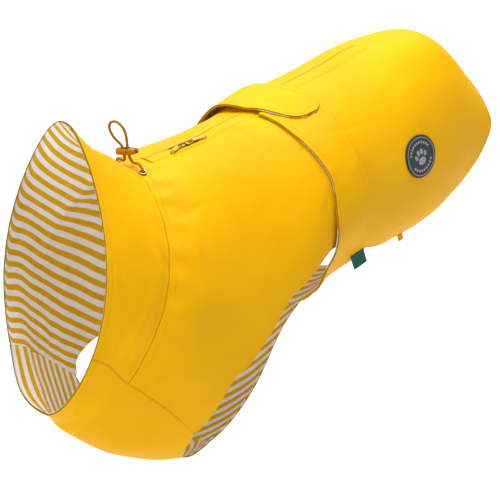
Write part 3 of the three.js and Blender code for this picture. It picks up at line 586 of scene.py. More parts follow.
def sewn_until(rows, last_row, distance):
    """Distance from a side edge that is a seam up to one column and free after it."""
    sewn = (rows < last_row)[:, None]
    return np.where(sewn, distance, 99), np.where(sewn, 99, distance)


def cloth_shell(name, panel, free, seams, seed):
    nearest = np.minimum.reduce(free)
    outer, inner = shell_faces(nearest, seams)
    ripple = edge_ripple(panel, nearest, 0.16, seed)
    piece = wall(name, panel, outer + ripple, inner + ripple, (panel.along, panel.around))
    # Marks the turned edges, where the shell material paints the fold's shade.
    turned = np.concatenate([(nearest < 0.5).ravel(), (nearest < LIP + 0.4).ravel()]).astype(np.float32)
    piece.data.attributes.new("edge_painted_shade", "FLOAT", "POINT").data.foreach_set("value", turned)
    return piece


def cloth_lining(name, panel, uv):
    outer = np.full(panel.station.shape, -SHELL - GAP)
    return wall(name, panel, outer, outer - LINING, uv)


cape_seam_left, cape_free_left = sewn_until(cape_rows, SEAM_COLUMNS - 1, cape.to_last)
cape_seam_right, cape_free_right = sewn_until(cape_rows, SEAM_COLUMNS - 1, cape.to_first)
chest_seam_left, chest_free_left = sewn_until(chest_rows, CHEST_SEAM_ROWS - 1, chest.to_first)
chest_seam_right, chest_free_right = sewn_until(chest_rows, CHEST_SEAM_ROWS - 1, chest.to_last)

# Each shell: its panel, its distances from free edges, then its seams and how deep each draws the cloth in.
shells = {
    "collar": (collar, [collar.to_start],
               [(collar.to_end, SEAM_SHALLOW), (collar.to_first, SEAM_DEEP), (collar.to_last, SEAM_DEEP)]),
    "cape": (cape, [cape_free_left, cape_free_right, cape.to_end],
             [(cape.to_start, SEAM_SHALLOW), (cape_seam_left, SEAM_DEEP), (cape_seam_right, SEAM_DEEP)]),
    "chest_panel": (chest, [chest.to_start, chest_free_left, chest_free_right],
                    [(chest_seam_left, SEAM_DEEP), (chest_seam_right, SEAM_DEEP),
                     (chest.to_end, SEAM_SHALLOW)]),
    "belly_panel": (belly, [belly.to_first, belly.to_last],
                    [(belly.to_start, SEAM_SHALLOW), (belly.to_end, SEAM_SHALLOW)]),
    "belly_band": (band, [band.to_first, band.to_last, band.to_start, band.to_end], []),
}
for seed, (node_name, (panel, free, seams)) in enumerate(shells.items()):
    piece = cloth_shell(node_name + "_cloth", panel, free, seams, seed)
    finish_piece(piece, shell_cloth, "coat", [node_name])

# The stripes of the collar's and the cape's lining follow the run of the back, and match across the casing.
neck_angles = np.linspace(-180, 180, 361)
neck_run = arc_lengths(folded_body(np.full(361, 2.0), neck_angles), 0)
neck_run = neck_run - neck_run[180]


def along_back(panel):
    """Cloth places by the run of the back. Toward the rim the stripes drop to both sides."""
    run = np.interp(panel.angle, neck_angles, neck_run)
    from_rim = panel.station * STATION_LENGTH
    drop = 8 * (1 - np.exp(-from_rim / 15)) + 0.07 * from_rim
    return panel.along, run - drop * np.tanh(run / 70) * (1 - 0.5 * np.exp(-(run / 60) ** 2))


def cut_at(panel, slant):
    """Cloth places from the cut piece's middle, with its threads turned by so many degrees."""
    around = panel.around - panel.around[:, panel.around.shape[1] // 2][:, None]
    c, s = math.cos(math.radians(slant)), math.sin(math.radians(slant))
    return panel.along * c + around * s, around * c - panel.along * s


collar_inside, _ = make_panel(over_back, COLLAR, 120, 420, 3.2, seam_until=99, ends=(0.014, -0.006))
cape_inside, _ = make_panel(over_back, CAPE, 460, 590, 4.0, seam_until=SEAM_COLUMNS - 0.5,
                            ends=(0.006, -0.012))
chest_inside, _ = make_panel(under_body, CHEST, 250, 200, 3.0, seam_until=CHEST_SEAM_ROWS - 0.5,
                             ends=(0.014, -0.003))
belly_inside, _ = make_panel(under_body, BELLY, 118, 88, 3.0, ends=(0.003, -0.004))
band_inside = band_panel(703, 64, 3.2)
linings = {
    "collar_lining": (collar_inside, along_back(collar_inside), lengthwise_jersey),
    "cape_lining": (cape_inside, along_back(cape_inside), lengthwise_jersey),
    "chest_lining": (chest_inside, cut_at(chest_inside, 0), crosswise_jersey),
    "belly_lining": (belly_inside, cut_at(belly_inside, -50), lengthwise_jersey),
    "band_lining": (band_inside, cut_at(band_inside, 0), lengthwise_jersey),
}
for node_name, (panel, uv, material) in linings.items():
    piece = cloth_lining(node_name + "_jersey", panel, uv)
    finish_piece(piece, material, "coat", [node_name])


# Sewing
def inset_line(panel, side, distance, outer):
    """The line on the cloth at a distance in from one edge, with its normals."""
    far = {"start": panel.to_start, "end": panel.to_end, "first": panel.to_first, "last": panel.to_last}[side]
    points, normals = panel.places(outer), panel.normal
    if side in ("start", "end"):
        far, points, normals = far.T, points.transpose(1, 0, 2), normals.transpose(1, 0, 2)
    if side in ("end", "last"):
        far, points, normals = far[:, ::-1], points[:, ::-1], normals[:, ::-1]
    line, out = [], []
    for k in range(far.shape[0]):
        i = int(np.searchsorted(far[k], distance)) - 1
        if i < 0 or i + 1 >= far.shape[1]:
            continue
        f = (distance - far[k, i]) / (far[k, i + 1] - far[k, i])
        line.append(points[k, i] * (1 - f) + points[k, i + 1] * f)
        out.append(normals[k, i] * (1 - f) + normals[k, i + 1] * f)
    return np.array(line), np.array(out)


def coat_line(stations, angles, out):
    stations, angles = np.broadcast_arrays(np.asarray(stations, float), np.asarray(angles, float))
    return on_coat(stations, angles, out), normal_of(folded_body, stations, angles)


STITCH_PITCH = 3.1
STITCH_LONG = 2.3
STITCH_RADIUS = 0.2


def stitches(name, lines):
    """Lockstitches along the lines: each a short thread that dives into the cloth at both ends."""
    rings = [(-0.5, -0.9), (-0.36, 0.35), (0, 0.75), (0.36, 0.35), (0.5, -0.9)]
    sides = 5
    points, faces = [], []
    for line, normals in lines:
        steps = np.linalg.norm(np.diff(line, axis=0), axis=1)
        run = np.concatenate([[0], np.cumsum(steps)])
        count = int(run[-1] // STITCH_PITCH)
        if count < 2:
            continue
        for k in range(count):
            middle = (k + 0.5) * run[-1] / count
            place = np.array([np.interp(middle, run, line[:, a]) for a in range(3)])
            ahead = np.array([np.interp(middle + 0.8, run, line[:, a]) for a in range(3)])
            behind = np.array([np.interp(middle - 0.8, run, line[:, a]) for a in range(3)])
            up = np.array([np.interp(middle, run, normals[:, a]) for a in range(3)])
            tangent = ahead - behind
            tangent = tangent / np.linalg.norm(tangent)
            up = up - tangent * np.dot(up, tangent)
            up = up / np.linalg.norm(up)
            side = np.cross(tangent, up)
            first = len(points)
            for along, rise in rings:
                centre = place + tangent * along * STITCH_LONG + up * rise * STITCH_RADIUS
                for i in range(sides):
                    turn = 2 * math.pi * i / sides
                    points.append(centre + (up * math.cos(turn) + side * math.sin(turn)) * STITCH_RADIUS)
            for r in range(len(rings) - 1):
                for i in range(sides):
                    a, b = first + r * sides + i, first + r * sides + (i + 1) % sides
                    faces.append([a, b, b + sides, a + sides])
            faces.append([first + i for i in reversed(range(sides))])
            faces.append([first + (len(rings) - 1) * sides + i for i in range(sides)])
    piece = add_mesh(name, points, faces)
    return finish_piece(piece, yellow_thread, "coat")


def shell_outer(node_name):
    panel, free, seams = shells[node_name]
    return panel, shell_faces(np.minimum.reduce(free), seams)[0]


def part_of(line, start, stop):
    """Part of a line, between places counted from its start or, below zero, from its end."""
    points, normals = line
    return points[start:stop], normals[start:stop]


collar_panel, collar_outer = shell_outer("collar")
cape_panel, cape_outer = shell_outer("cape")
chest_panel, chest_outer = shell_outer("chest_panel")
belly_panel, belly_outer = shell_outer("belly_panel")
band_shell, band_outer = shell_outer("belly_band")
wing_start = int(np.argmax(cape_rows >= SEAM_COLUMNS - 1)) - len(cape_rows)
neck_ring = np.linspace(-124, 124, 200)
stitches("stitching_collar", [
    inset_line(collar_panel, "start", STITCH_IN, collar_outer),
    coat_line(np.full(200, 1.86), neck_ring, 0.05),
])
stitches("stitching_cape", [
    part_of(inset_line(cape_panel, "first", STITCH_IN, cape_outer), wing_start, -8),
    part_of(inset_line(cape_panel, "last", STITCH_IN, cape_outer), wing_start, -8),
    part_of(inset_line(cape_panel, "end", STITCH_IN, cape_outer), 8, -8),
    coat_line(np.full(200, 2.16), neck_ring, 0.05),
])
stitches("stitching_chest", [
    inset_line(chest_panel, "start", STITCH_IN, chest_outer),
    inset_line(chest_panel, "first", 2.4, chest_outer),
    inset_line(chest_panel, "last", 2.4, chest_outer),
])
stitches("stitching_belly", [
    inset_line(belly_panel, "first", STITCH_IN, belly_outer),
    inset_line(belly_panel, "last", STITCH_IN, belly_outer),
])
stitches("stitching_band", [
    part_of(inset_line(band_shell, side, STITCH_IN, band_outer), 6, -6) for side in ("first", "last", "end")
])


# Zip: tape and teeth below, a folded welt over them, and a narrow lip on the far side of the slit.
ZIP_START, ZIP_END = 2.585, 8.72
NOTCH = [(2.62, -0.2), (3.0, -0.2), (3.28, 0), (3.44, 6.2), (3.74, 6.5), (4.03, 6.2), (4.2, 0), (4.6, -0.2),
         (8.72, -0.2)]
WELT_FAR = 8.8


def strip_on_coat(name, stations, from_angle, to_angle, ways, outer, inner):
    """A strip along the back: ways run across it, and outer and inner are its two faces at each of them."""
    ways = np.asarray(ways)
    station = np.repeat(stations[:, None], len(ways), axis=1)
    angle = from_angle[:, None] + (to_angle - from_angle)[:, None] * ways[None, :]
    strip = Panel(station, angle)
    return wall(name, strip, np.tile(outer, (len(stations), 1)), np.tile(inner, (len(stations), 1)),
                (strip.along, strip.around))


zip_run = np.linspace(ZIP_START, ZIP_END, 170)
edge_run = np.interp(zip_run, [s for s, _ in NOTCH], [a for _, a in NOTCH])
welt = strip_on_coat(
    "zip_welt_cloth", zip_run, edge_run, np.full(170, WELT_FAR),
    [0, 0.015, 0.05, 0.1, 0.14, 0.18, 0.24, 0.4, 0.6, 0.76, 0.82, 0.87, 0.92, 0.96, 1.0],
    [1.35, 1.72, 1.9, 1.88, 1.68, 1.84, 1.85, 1.7, 1.45, 1.2, 1.0, 1.05, 0.8, 0.45, 0.1],
    [1.0, 0.75, 0.62, 0.6, 0.6, 0.6, 0.5, 0.2, 0, -0.2, -0.3, -0.3, -0.3, -0.3, -0.3],
)
finish_piece(welt, shell_cloth, "coat", ["zip_welt"])
lip_angle = np.full(170, -1.15)
lip = strip_on_coat(
    "zip_far_lip", zip_run, lip_angle, np.full(170, -5.2),
    [0, 0.04, 0.12, 0.22, 0.3, 0.38, 0.55, 0.75, 0.9, 1.0],
    [1.1, 1.4, 1.5, 1.45, 1.3, 1.4, 1.2, 0.8, 0.4, 0.1],
    [0.6, 0.3, 0.1, 0, -0.2, -0.3, -0.3, -0.3, -0.3, -0.3],
)
finish_piece(lip, shell_cloth, "coat")
tape = strip_on_coat(
    "zip_tape", np.linspace(ZIP_START + 0.02, ZIP_END - 0.02, 150), np.full(150, -1.6), np.full(150, 6.9),
    [0, 0.1, 0.3, 0.5, 0.7, 0.9, 1.0], [0.2, 0.3, 0.32, 0.32, 0.32, 0.3, 0.2], [-0.3] * 7,
)
finish_piece(tape, zip_tape, "coat")
stitches("stitching_welt", [
    coat_line(zip_run, edge_run + 1.2, 1.72),
    coat_line(zip_run, np.full(170, WELT_FAR * 0.815), 1.02),
    coat_line(zip_run, np.full(170, -2.0), 1.32),
])


def frame_on_coat(station, angle, out):
    """Matrix in millimetres: x toward the tail along the cloth, y toward the wearer's right, z outward."""
    place = on_coat(station, angle, out)
    ahead = on_coat(station + 0.05, angle, out)
    outward = Vector(normal_of(folded_body, np.asarray(float(station)), np.asarray(float(angle))))
    tail = Vector(ahead - place).normalized()
    right = outward.cross(tail).normalized()
    turn = Matrix((tail, right, outward)).transposed().to_4x4()
    return Matrix.Translation(Vector(place)) @ turn


# Hard pieces are shaped as by hand with operators, in millimetres about their own middle, then put in place.
SMOOTH_ANGLE = math.radians(38)


def only(piece):
    bpy.ops.object.select_all(action="DESELECT")
    piece.select_set(True)
    bpy.context.view_layer.objects.active = piece


def primitive(kind, name, scale=(1, 1, 1), **settings):
    bpy.ops.object.select_all(action="DESELECT")
    getattr(bpy.ops.mesh, f"primitive_{kind}_add")(**settings)
    piece = bpy.context.object
    piece.name = name
    piece.data.name = name
    piece.scale = scale
    bpy.ops.object.transform_apply(location=True, rotation=True, scale=True)
    return piece


def apply_modifier(piece, kind, **settings):
    only(piece)
    modifier = piece.modifiers.new(kind.lower(), kind)
    for key, value in settings.items():
        setattr(modifier, key, value)
    bpy.ops.object.modifier_apply(modifier=modifier.name)


def cut(piece, cutter):
    apply_modifier(piece, "BOOLEAN", operation="DIFFERENCE", object=cutter, solver="EXACT")
    bpy.data.objects.remove(cutter)


def join_to(piece, other):
    apply_modifier(piece, "BOOLEAN", operation="UNION", object=other, solver="EXACT")
    bpy.data.objects.remove(other)


def edit_faces(piece, chosen):
    """Opens edit mode with only those faces selected whose middle and normal pass the test."""
    only(piece)
    bpy.ops.object.mode_set(mode="EDIT")
    bpy.ops.mesh.select_mode(type="FACE")
    bpy.ops.mesh.select_all(action="DESELECT")
    mesh = bmesh.from_edit_mesh(piece.data)
    for face in mesh.faces:
        face.select_set(bool(chosen(face.calc_center_median(), face.normal)))
    mesh.select_flush_mode()
    bmesh.update_edit_mesh(piece.data)


def leave_edit():
    bpy.ops.object.mode_set(mode="OBJECT")


def place_piece(piece, matrix):
    piece.data.transform(Matrix.Scale(MM, 4) @ matrix)
    piece.data.update()
    only(piece)
    bpy.ops.object.shade_smooth_by_angle(angle=SMOOTH_ANGLE)


def copy_piece(piece, name):
    made = piece.copy()
    made.data = piece.data.copy()
    made.name = name
    bpy.context.scene.collection.objects.link(made)
    return made


SLIDER_LENGTH, SLIDER_WIDTH, SLIDER_HIGH, ARCH_TOP, BAR = 10, 7, 1.9, 3.3, 0.9
SLIDER_ANGLE = 3.2
HINGE_HEIGHT = SLIDER_HIGH + (ARCH_TOP - BAR) / 2


def slider_model():
    """Die-cast slider: two plates with a waist between, narrower where the teeth part, and an arch on top."""
    body = primitive("cube", "slider_body", (SLIDER_LENGTH, SLIDER_WIDTH, SLIDER_HIGH), size=1,
                     location=(0, 0, SLIDER_HIGH / 2))
    only(body)
    bpy.ops.object.mode_set(mode="EDIT")
    bpy.ops.mesh.select_all(action="SELECT")
    bpy.ops.mesh.subdivide(number_cuts=3)
    leave_edit()
    for vertex in body.data.vertices:
        toward = vertex.co.x / (SLIDER_LENGTH / 2)
        level = abs(vertex.co.z - SLIDER_HIGH / 2) / (SLIDER_HIGH / 2)
        vertex.co.y *= (1 - 0.22 * max(toward, 0) ** 2) * (0.8 + 0.2 * (level > 0.4))
        vertex.co.z += 0.12 * (1 - toward ** 2) * (vertex.co.z > SLIDER_HIGH * 0.9)
    apply_modifier(body, "BEVEL", width=0.35, segments=3, limit_method="ANGLE", angle_limit=math.radians(40))
    arch = primitive("cube", "slider_arch", (4.4, 1.6, ARCH_TOP + 0.4), size=1,
                     location=(0, 0, SLIDER_HIGH + ARCH_TOP / 2 - 0.2))
    window = primitive("cube", "arch_window", (2.6, 4, 2.4), size=1, location=(0, 0, HINGE_HEIGHT))
    cut(arch, window)
    apply_modifier(arch, "BEVEL", width=0.32, segments=3, limit_method="ANGLE", angle_limit=math.radians(40))
    join_to(body, arch)
    return body


def pull_model():
    """Stamped pull tab: a long leaf with a hole at its tip, a dished face and a slot for the arch."""
    tab = primitive("cylinder", "pull_tab", vertices=48, radius=1, depth=1.1)
    half_long, half_wide = 10.5, 3.4
    for vertex in tab.data.vertices:
        x, y = vertex.co.x, vertex.co.y
        squared = (abs(x) ** 2.8 + abs(y) ** 2.8) ** (1 / 2.8)
        x, y = x / squared, y / squared
        toward_hinge = (x + 1) / 2
        vertex.co.x = x * half_long + 0.55 - half_long
        vertex.co.y = y * half_wide * (1 - 0.16 * toward_hinge)
    edit_faces(tab, lambda middle, normal: abs(normal.z) > 0.9)
    bpy.ops.mesh.inset(thickness=0.75, depth=0)
    bpy.ops.mesh.inset(thickness=0.25, depth=-0.22)
    leave_edit()
    slot = primitive("cube", "tab_slot", (2.9, 3.2, 4), size=1, location=(-2.0, 0, 0))
    apply_modifier(slot, "BEVEL", width=0.4, segments=3)
    cut(tab, slot)
    hole = primitive("cylinder", "tab_hole", vertices=24, radius=1.45, depth=4, location=(3.8 - 21, 0, 0))
    cut(tab, hole)
    apply_modifier(tab, "BEVEL", width=0.16, segments=2, limit_method="ANGLE", angle_limit=math.radians(50))
    return tab


slider = slider_model()
pull = pull_model()
for end, station, facing, twist in (("front", 3.58, 0.1, 0.28), ("rear", 3.86, math.pi - 0.06, -0.17)):
    base = frame_on_coat(station, SLIDER_ANGLE, 2 * GAP) @ Matrix.Rotation(facing, 4, "Z")
    made = copy_piece(slider, f"slider_{end}")
    place_piece(made, base)
    finish_piece(made, antique_brass, "coat", [f"zip_slider_{end}"])
    made = copy_piece(pull, f"pull_{end}")
    place_piece(made, base @ Matrix.Translation((0, 0, HINGE_HEIGHT)) @ Matrix.Rotation(twist, 4, "Z"))
    finish_piece(made, antique_brass, f"pull_{end}", [f"pull_tab_{end}"])
bpy.data.objects.remove(slider)
bpy.data.objects.remove(pull)


TEETH_START, TEETH_END, TEETH_COUNT = 3.26, 4.24, 44


def zip_teeth():
    """Moulded teeth, side by side in turn, where the notch in the welt shows them."""
    tooth = primitive("cube", "zip_tooth", (1.0, 2.6, 1.0), size=1)
    apply_modifier(tooth, "BEVEL", width=0.25, segments=2)
    chain = None
    for k, station in enumerate(np.linspace(TEETH_START, TEETH_END, TEETH_COUNT)):
        across = 0.9 if k % 2 else -0.9
        made = copy_piece(tooth, f"tooth_{k}")
        base = frame_on_coat(station, 2.2, 0.75)
        made.data.transform(Matrix.Scale(MM, 4) @ base @ Matrix.Translation((0, across, 0)))
        if chain is None:
            chain = made
            continue
        only(chain)
        made.select_set(True)
        bpy.ops.object.join()
    bpy.data.objects.remove(tooth)
    chain.name = "zip_teeth"
    only(chain)
    bpy.ops.object.shade_smooth_by_angle(angle=SMOOTH_ANGLE)
    return chain


finish_piece(zip_teeth(), antique_brass, "coat")


def eyelet_model():
    """Stamped eyelet: a rolled ring with a short barrel."""
    ring = primitive("torus", "eyelet", major_radius=2.95, minor_radius=0.85, major_segments=40,
                     minor_segments=14)
    for vertex in ring.data.vertices:
        vertex.co.z = vertex.co.z * 0.62 + 0.45
    barrel = primitive("cylinder", "eyelet_barrel", vertices=40, radius=2.35, depth=2.2,
                       location=(0, 0, -0.7))
    bore = primitive("cylinder", "eyelet_bore", vertices=40, radius=2.1, depth=6)
    join_to(ring, barrel)
    cut(ring, bore)
    return ring


eyelet = eyelet_model()
for side_name, angle in (("left", 17), ("right", -14)):
    made = copy_piece(eyelet, f"eyelet_ring_{side_name}")
    place_piece(made, frame_on_coat(2.1, angle, 1.4))
    finish_piece(made, nickel, "coat", [f"eyelet_{side_name}"])
bpy.data.objects.remove(eyelet)


# Cord lock: a barrel across both strands, ribbed round its ends, with a sprung button in one end.
LOCK_MIDDLE = Vector((-21.24, -0.37, 19.88))
LOCK_LONG = Vector((0.62, -0.77, -0.12)).normalized()


def lock_frame():
    up = Vector((-0.1, 0, 1))
    up = (up - LOCK_LONG * up.dot(LOCK_LONG)).normalized()
    side = up.cross(LOCK_LONG)
    return Matrix.Translation(LOCK_MIDDLE) @ Matrix((LOCK_LONG, side, up)).transposed().to_4x4()


def lock_model():
    barrel = primitive("cylinder", "lock_barrel", vertices=40, radius=4.5, depth=20,
                       rotation=(0, math.pi / 2, 0))
    edit_faces(barrel, lambda middle, normal: abs(normal.x) > 0.9)
    bpy.ops.mesh.inset(thickness=0.7)
    leave_edit()
    only(barrel)
    bpy.ops.object.mode_set(mode="EDIT")
    for x in (-7.5, -5.5, -3.0, 3.0, 5.5, 7.5):
        bpy.ops.mesh.select_all(action="SELECT")
        bpy.ops.mesh.bisect(plane_co=(x, 0, 0), plane_no=(1, 0, 0))
    leave_edit()
    for vertex in barrel.data.vertices:
        reach = abs(vertex.co.x) / 10
        swell = 1 - 0.2 * reach ** 3
        vertex.co.y *= swell * 1.02
        vertex.co.z *= swell * 0.93
    apply_modifier(barrel, "BEVEL", width=0.7, segments=4, limit_method="ANGLE", angle_limit=math.radians(50))
    passage = primitive("cube", "lock_passage", (9.8, 5.0, 14), size=1)
    apply_modifier(passage, "BEVEL", width=2.2, segments=5)
    cut(barrel, passage)
    bore = primitive("cylinder", "lock_bore", vertices=32, radius=3.1, depth=6.6, location=(8.7, 0, 0),
                     rotation=(0, math.pi / 2, 0))
    cut(barrel, bore)
    return barrel


def button_model():
    button = primitive("cylinder", "lock_plunger", vertices=32, radius=2.85, depth=4.8,
                       location=(10 - 4.6 + 2.2 + 0.3 + 2.4, 0, 0), rotation=(0, math.pi / 2, 0))
    edit_faces(button, lambda middle, normal: normal.x > 0.9)
    bpy.ops.mesh.inset(thickness=0.7, depth=0)
    bpy.ops.mesh.inset(thickness=0.4, depth=-0.25)
    leave_edit()
    apply_modifier(button, "BEVEL", width=0.4, segments=3, limit_method="ANGLE", angle_limit=math.radians(50))
    return button


lock_piece = lock_model()
place_piece(lock_piece, lock_frame())
finish_piece(lock_piece, moulded_lock, "coat", ["cord_lock"])
button_piece = button_model()
place_piece(button_piece, lock_frame())
finish_piece(button_piece, moulded_button, "lock_button", ["lock_button"])


# Badge: a moulded disc sewn to the hip, with a plain ring, a ring of bars and a paw print.
BADGE = (8.45, 85.0)


def badge_place(x, y, out):
    """A place on the badge: x toward the tail and y down, from -1 to 1."""
    x, y = np.asarray(x, float), np.asarray(y, float)
    return on_coat(BADGE[0] + 0.35 * x + 0.07 * y, BADGE[1] + 12.9 * y, out)


def badge_disc():
    radii = [0.0, 0.2, 0.45, 0.7, 0.84, 0.855, 0.9, 0.915, 0.95, 0.975, 0.99, 1.0]
    heights = [1.5, 1.5, 1.5, 1.5, 1.5, 1.72, 1.72, 1.6, 1.8, 1.75, 1.5, 1.1]
    sides = 72
    points, faces = [badge_place(0, 0, heights[0])], []
    for radius, height in list(zip(radii, heights))[1:] + [(1.0, 0.4), (0.96, 0.1)]:
        turn = np.arange(sides) * 2 * math.pi / sides
        points.extend(badge_place(radius * np.cos(turn), radius * np.sin(turn), height))
    rings = len(radii) + 1
    for i in range(sides):
        j = (i + 1) % sides
        faces.append([0, 1 + j, 1 + i])
        for r in range(rings - 1):
            a, b = 1 + r * sides + i, 1 + r * sides + j
            faces.append([a, b, b + sides, a + sides])
    last = 1 + (rings - 1) * sides
    points.append(badge_place(0, 0, 0.1))
    for i in range(sides):
        faces.append([last + i, last + (i + 1) % sides, len(points) - 1])
    return add_mesh("badge_disc", points, faces)


def badge_relief(name, outlines, top):
    """Raised shapes on the badge: each outline is a fan about its middle, with a wall down into the disc."""
    points, faces = [], []
    for outline in outlines:
        outline = np.asarray(outline)
        middle = outline.mean(axis=0)
        count = len(outline)
        first = len(points)
        shrunk = middle + (outline - middle) * 0.94
        points.append(badge_place(*middle, top))
        points.extend(badge_place(shrunk[:, 0], shrunk[:, 1], top))
        points.extend(badge_place(outline[:, 0], outline[:, 1], top - 0.08))
        points.extend(badge_place(outline[:, 0], outline[:, 1], top - 0.5))
        points.append(badge_place(*middle, top - 0.5))
        for i in range(count):
            j = (i + 1) % count
            faces.append([first, first + 1 + j, first + 1 + i])
            for r in range(2):
                a, b = first + 1 + r * count + i, first + 1 + r * count + j
                faces.append([a, b, b + count, a + count])
            faces.append([first + 1 + 2 * count + i, first + 1 + 2 * count + j, first + 1 + 3 * count])
    piece = add_mesh(name, points, faces, smooth=False)
    only(piece)
    bpy.ops.object.mode_set(mode="EDIT")
    bpy.ops.mesh.select_all(action="SELECT")
    bpy.ops.mesh.normals_make_consistent(inside=False)
    leave_edit()
    return piece


def oval(x, y, wide, high, lean, sides=18):
    turn = np.arange(sides) * 2 * math.pi / sides
    c, s = math.cos(math.radians(lean)), math.sin(math.radians(lean))
    px, py = wide * np.cos(turn), high * np.sin(turn)
    return np.stack([x + px * c - py * s, y + px * s + py * c], axis=1)


def bars(radius, thick, start, end, count, fill):
    made = []
    for k in range(count):
        a0 = start + (end - start) * (k + (1 - fill) / 2) / count
        a1 = start + (end - start) * (k + (1 + fill) / 2) / count
        turn = np.radians(np.linspace(a0, a1, 4))
        outer = np.stack([np.cos(turn), np.sin(turn)], axis=1) * (radius + thick / 2)
        inner = np.stack([np.cos(turn), np.sin(turn)], axis=1)[::-1] * (radius - thick / 2)
        made.append(np.concatenate([outer, inner]))
    return made


disc = badge_disc()
finish_piece(disc, silicone_black, "coat", ["badge"])
pads = [oval(0, 0.2, 0.24, 0.18, 0), oval(-0.3, -0.06, 0.085, 0.125, -24),
        oval(-0.11, -0.22, 0.09, 0.135, -8), oval(0.11, -0.22, 0.09, 0.135, 8),
        oval(0.3, -0.06, 0.085, 0.125, 24)]
motif = badge_relief("badge_motif", pads + bars(0.875, 0.035, 0, 360, 48, 1.0)
                     + bars(0.66, 0.11, 200, 340, 11, 0.6) + bars(0.66, 0.11, 25, 155, 9, 0.6), 1.86)
finish_piece(motif, silicone_grey, "coat")


# Label and hem loop: folded tapes that hang from the cloth's lower edges.
def hanging_frame(station, angle, out):
    place = Vector(on_coat(station, angle, out))
    tail = Vector(on_coat(station + 0.1, angle, out) - on_coat(station - 0.1, angle, out)).normalized()
    down = (Vector((0, 0, -1)) + tail * tail.z).normalized()
    head = -tail
    outward = head.cross(down).normalized()
    return Matrix.Translation(place) @ Matrix((head, down, outward)).transposed().to_4x4()


def folded_tape(name, width, drop, thick, bow):
    tape_piece = primitive("cube", name, (width, drop, thick), size=1,
                           location=(0, drop / 2 - 0.6, thick / 2))
    only(tape_piece)
    bpy.ops.object.mode_set(mode="EDIT")
    bpy.ops.mesh.select_all(action="SELECT")
    bpy.ops.mesh.subdivide(number_cuts=11)
    leave_edit()
    for vertex in tape_piece.data.vertices:
        x, y = vertex.co.x / (width / 2), vertex.co.y / drop
        thinned = 1 - 0.45 * max(0, y - 0.8) / 0.2 * 0.6
        vertex.co.z = thick / 2 + (vertex.co.z - thick / 2) * thinned
        vertex.co.z += bow * (math.sin(1.7 * x + 0.5) * 0.4 + y ** 2)
        vertex.co.y += 0.25 * math.sin(2.2 * x)
    apply_modifier(tape_piece, "BEVEL", width=thick * 0.3, segments=3, limit_method="ANGLE",
                   angle_limit=math.radians(60))
    return tape_piece


label_frame = hanging_frame(6.85, 134, 4.3)
label_tape = folded_tape("label_tape", 20, 16, 1.0, 0.9)
place_piece(label_tape, label_frame)
finish_piece(label_tape, woven_green, "coat", ["label"])
loop_tape = folded_tape("hem_loop_tape", 8, 7, 2.0, 0.4)
place_piece(loop_tape, hanging_frame(8.3, 144, 0.1))
finish_piece(loop_tape, shell_cloth, "coat", ["hem_loop"])


# Drawcord: a braided elastic cord from one eyelet up through the lock, round a loop and back to the other.
CORD_ROUTE = [
    (-22.4, -23.3, 0.1), (-22.4, -23.0, 3.1), (-22.2, -21.4, 5.7), (-21.9, -19.0, 7.4), (-21.5, -16.1, 8.1),
    (-21.2, -13.1, 7.9), (-20.8, -10.1, 7.8), (-20.4, -7.1, 8.2), (-20.1, -4.6, 9.8), (-19.9, -2.9, 12.3),
    (-19.8, -2.3, 15.3), (-19.8, -2.3, 19.7), (-19.9, -2.7, 24.1), (-20.5, -4.4, 28.9), (-21.8, -7.0, 35.1),
    (-23.4, -8.8, 42.3), (-25.1, -7.6, 49.1), (-26.8, -2.3, 53.7), (-28.3, 3.6, 53.2), (-29.2, 7.6, 47.9),
    (-28.3, 7.3, 39.9), (-26.1, 4.9, 33.0), (-23.8, 2.4, 27.9), (-22.7, 1.4, 23.9), (-22.6, 1.5, 19.7),
    (-22.6, 1.6, 15.3), (-22.6, 1.9, 13.2), (-22.5, 2.9, 11.4), (-22.3, 4.4, 10.1), (-22.1, 6.2, 9.4),
    (-21.8, 8.3, 9.3), (-21.6, 10.2, 9.7), (-21.3, 12.1, 10.4), (-21.1, 14.2, 10.5), (-20.8, 16.1, 10.0),
    (-20.6, 17.8, 8.8), (-20.5, 19.0, 7.1), (-20.4, 19.5, 5.2),
]
CORD_RADIUS = 1.5


def smooth_route(points, per_step):
    route = np.array(points)
    last = len(route) - 1
    made = []
    for k in range(last):
        p0, p1, p2, p3 = (route[min(max(k + i, 0), last)] for i in (-1, 0, 1, 2))
        for t in np.arange(per_step) / per_step:
            made.append(0.5 * (2 * p1 + (p2 - p0) * t + (2 * p0 - 5 * p1 + 4 * p2 - p3) * t * t
                               + (3 * p1 - p0 - 3 * p2 + p3) * t ** 3))
    made.append(route[-1])
    return np.array(made)


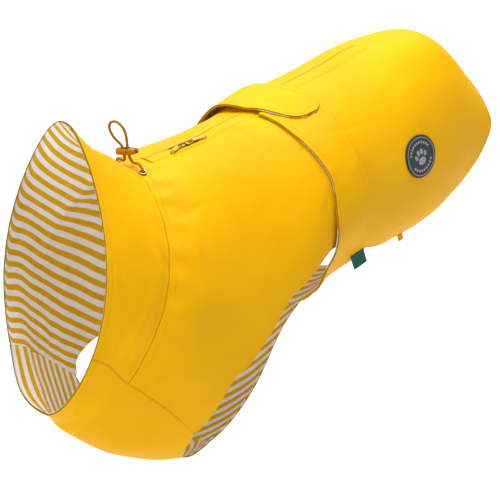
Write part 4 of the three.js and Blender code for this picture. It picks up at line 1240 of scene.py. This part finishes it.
def cord_tube(name, route, radius, sides):
    tangents = np.gradient(route, axis=0)
    tangents /= np.linalg.norm(tangents, axis=1, keepdims=True)
    side = np.cross(tangents[0], [0, 0, 1.0])
    side /= np.linalg.norm(side)
    run = np.concatenate([[0], np.cumsum(np.linalg.norm(np.diff(route, axis=0), axis=1))])
    points, uvs, faces = [], [], []
    for place, tangent, along in zip(route, tangents, run):
        side = side - tangent * np.dot(side, tangent)
        side /= np.linalg.norm(side)
        up = np.cross(tangent, side)
        for i in range(sides):
            turn = 2 * math.pi * i / sides
            braid = 0.09 * abs(math.sin(4 * turn + along * 2.6)) * abs(math.sin(4 * turn - along * 2.6))
            points.append(place + (side * math.cos(turn) + up * math.sin(turn)) * (radius - 0.08 + braid))
            uvs.append((along * MM, i / sides))
    for k in range(len(route) - 1):
        for i in range(sides):
            a, b = k * sides + i, k * sides + (i + 1) % sides
            faces.append([a, b, b + sides, a + sides])
    faces.append([i for i in reversed(range(sides))])
    faces.append([(len(route) - 1) * sides + i for i in range(sides)])
    return add_mesh(name, points, faces, uvs), run[-1]


cord_path = smooth_route(CORD_ROUTE, 12)
cord_piece, cord_length = cord_tube("drawcord_braid", cord_path, CORD_RADIUS, 24)
finish_piece(cord_piece, braided_cord, "coat", ["drawcord"])


# Floor, light
FLOOR_Z = -0.62
FLOOR_HALF = 6.0
floor_paint = plain_material("pale_floor", "#ffffff", 0.9, grain=3000.0, depth=0.0)


def add_floor():
    corners = np.array([[-1, -1, 0], [1, -1, 0], [1, 1, 0], [-1, 1, 0]]) * FLOOR_HALF
    floor = add_mesh("floor", corners / MM, [[0, 1, 2, 3]], smooth=False)
    floor.location.z = FLOOR_Z
    floor.data.materials.append(floor_paint)


add_floor()


def area_light(name, place, aim, size, power):
    lamp = bpy.data.lights.new(name, "AREA")
    lamp.shape = "DISK"
    lamp.size = size
    lamp.energy = power
    made = bpy.data.objects.new(name, lamp)
    bpy.context.scene.collection.objects.link(made)
    made.location = place
    made.rotation_euler = (Vector(aim) - Vector(place)).to_track_quat("-Z", "Y").to_euler()


area_light("key", (-0.4, -1.0, 2.2), (0.1, 0, -0.1), 1.1, 14)
area_light("top", (0.8, -0.2, 2.3), (0.1, 0, -0.1), 1.4, 66)
area_light("mouth_fill", (-1.8, -0.3, 0.35), (-0.05, 0, -0.12), 0.8, 11)
area_light("floor_wash", (1.8, 2.3, 1.4), (1.8, 2.3, -0.62), 3.8, 62)

world = bpy.data.worlds.new("studio")
world.use_nodes = True
world.node_tree.nodes["Background"].inputs["Color"].default_value = (1, 1, 1, 1)
world.node_tree.nodes["Background"].inputs["Strength"].default_value = 0.36
bpy.context.scene.world = world
bpy.context.scene.view_settings.view_transform = "Standard"
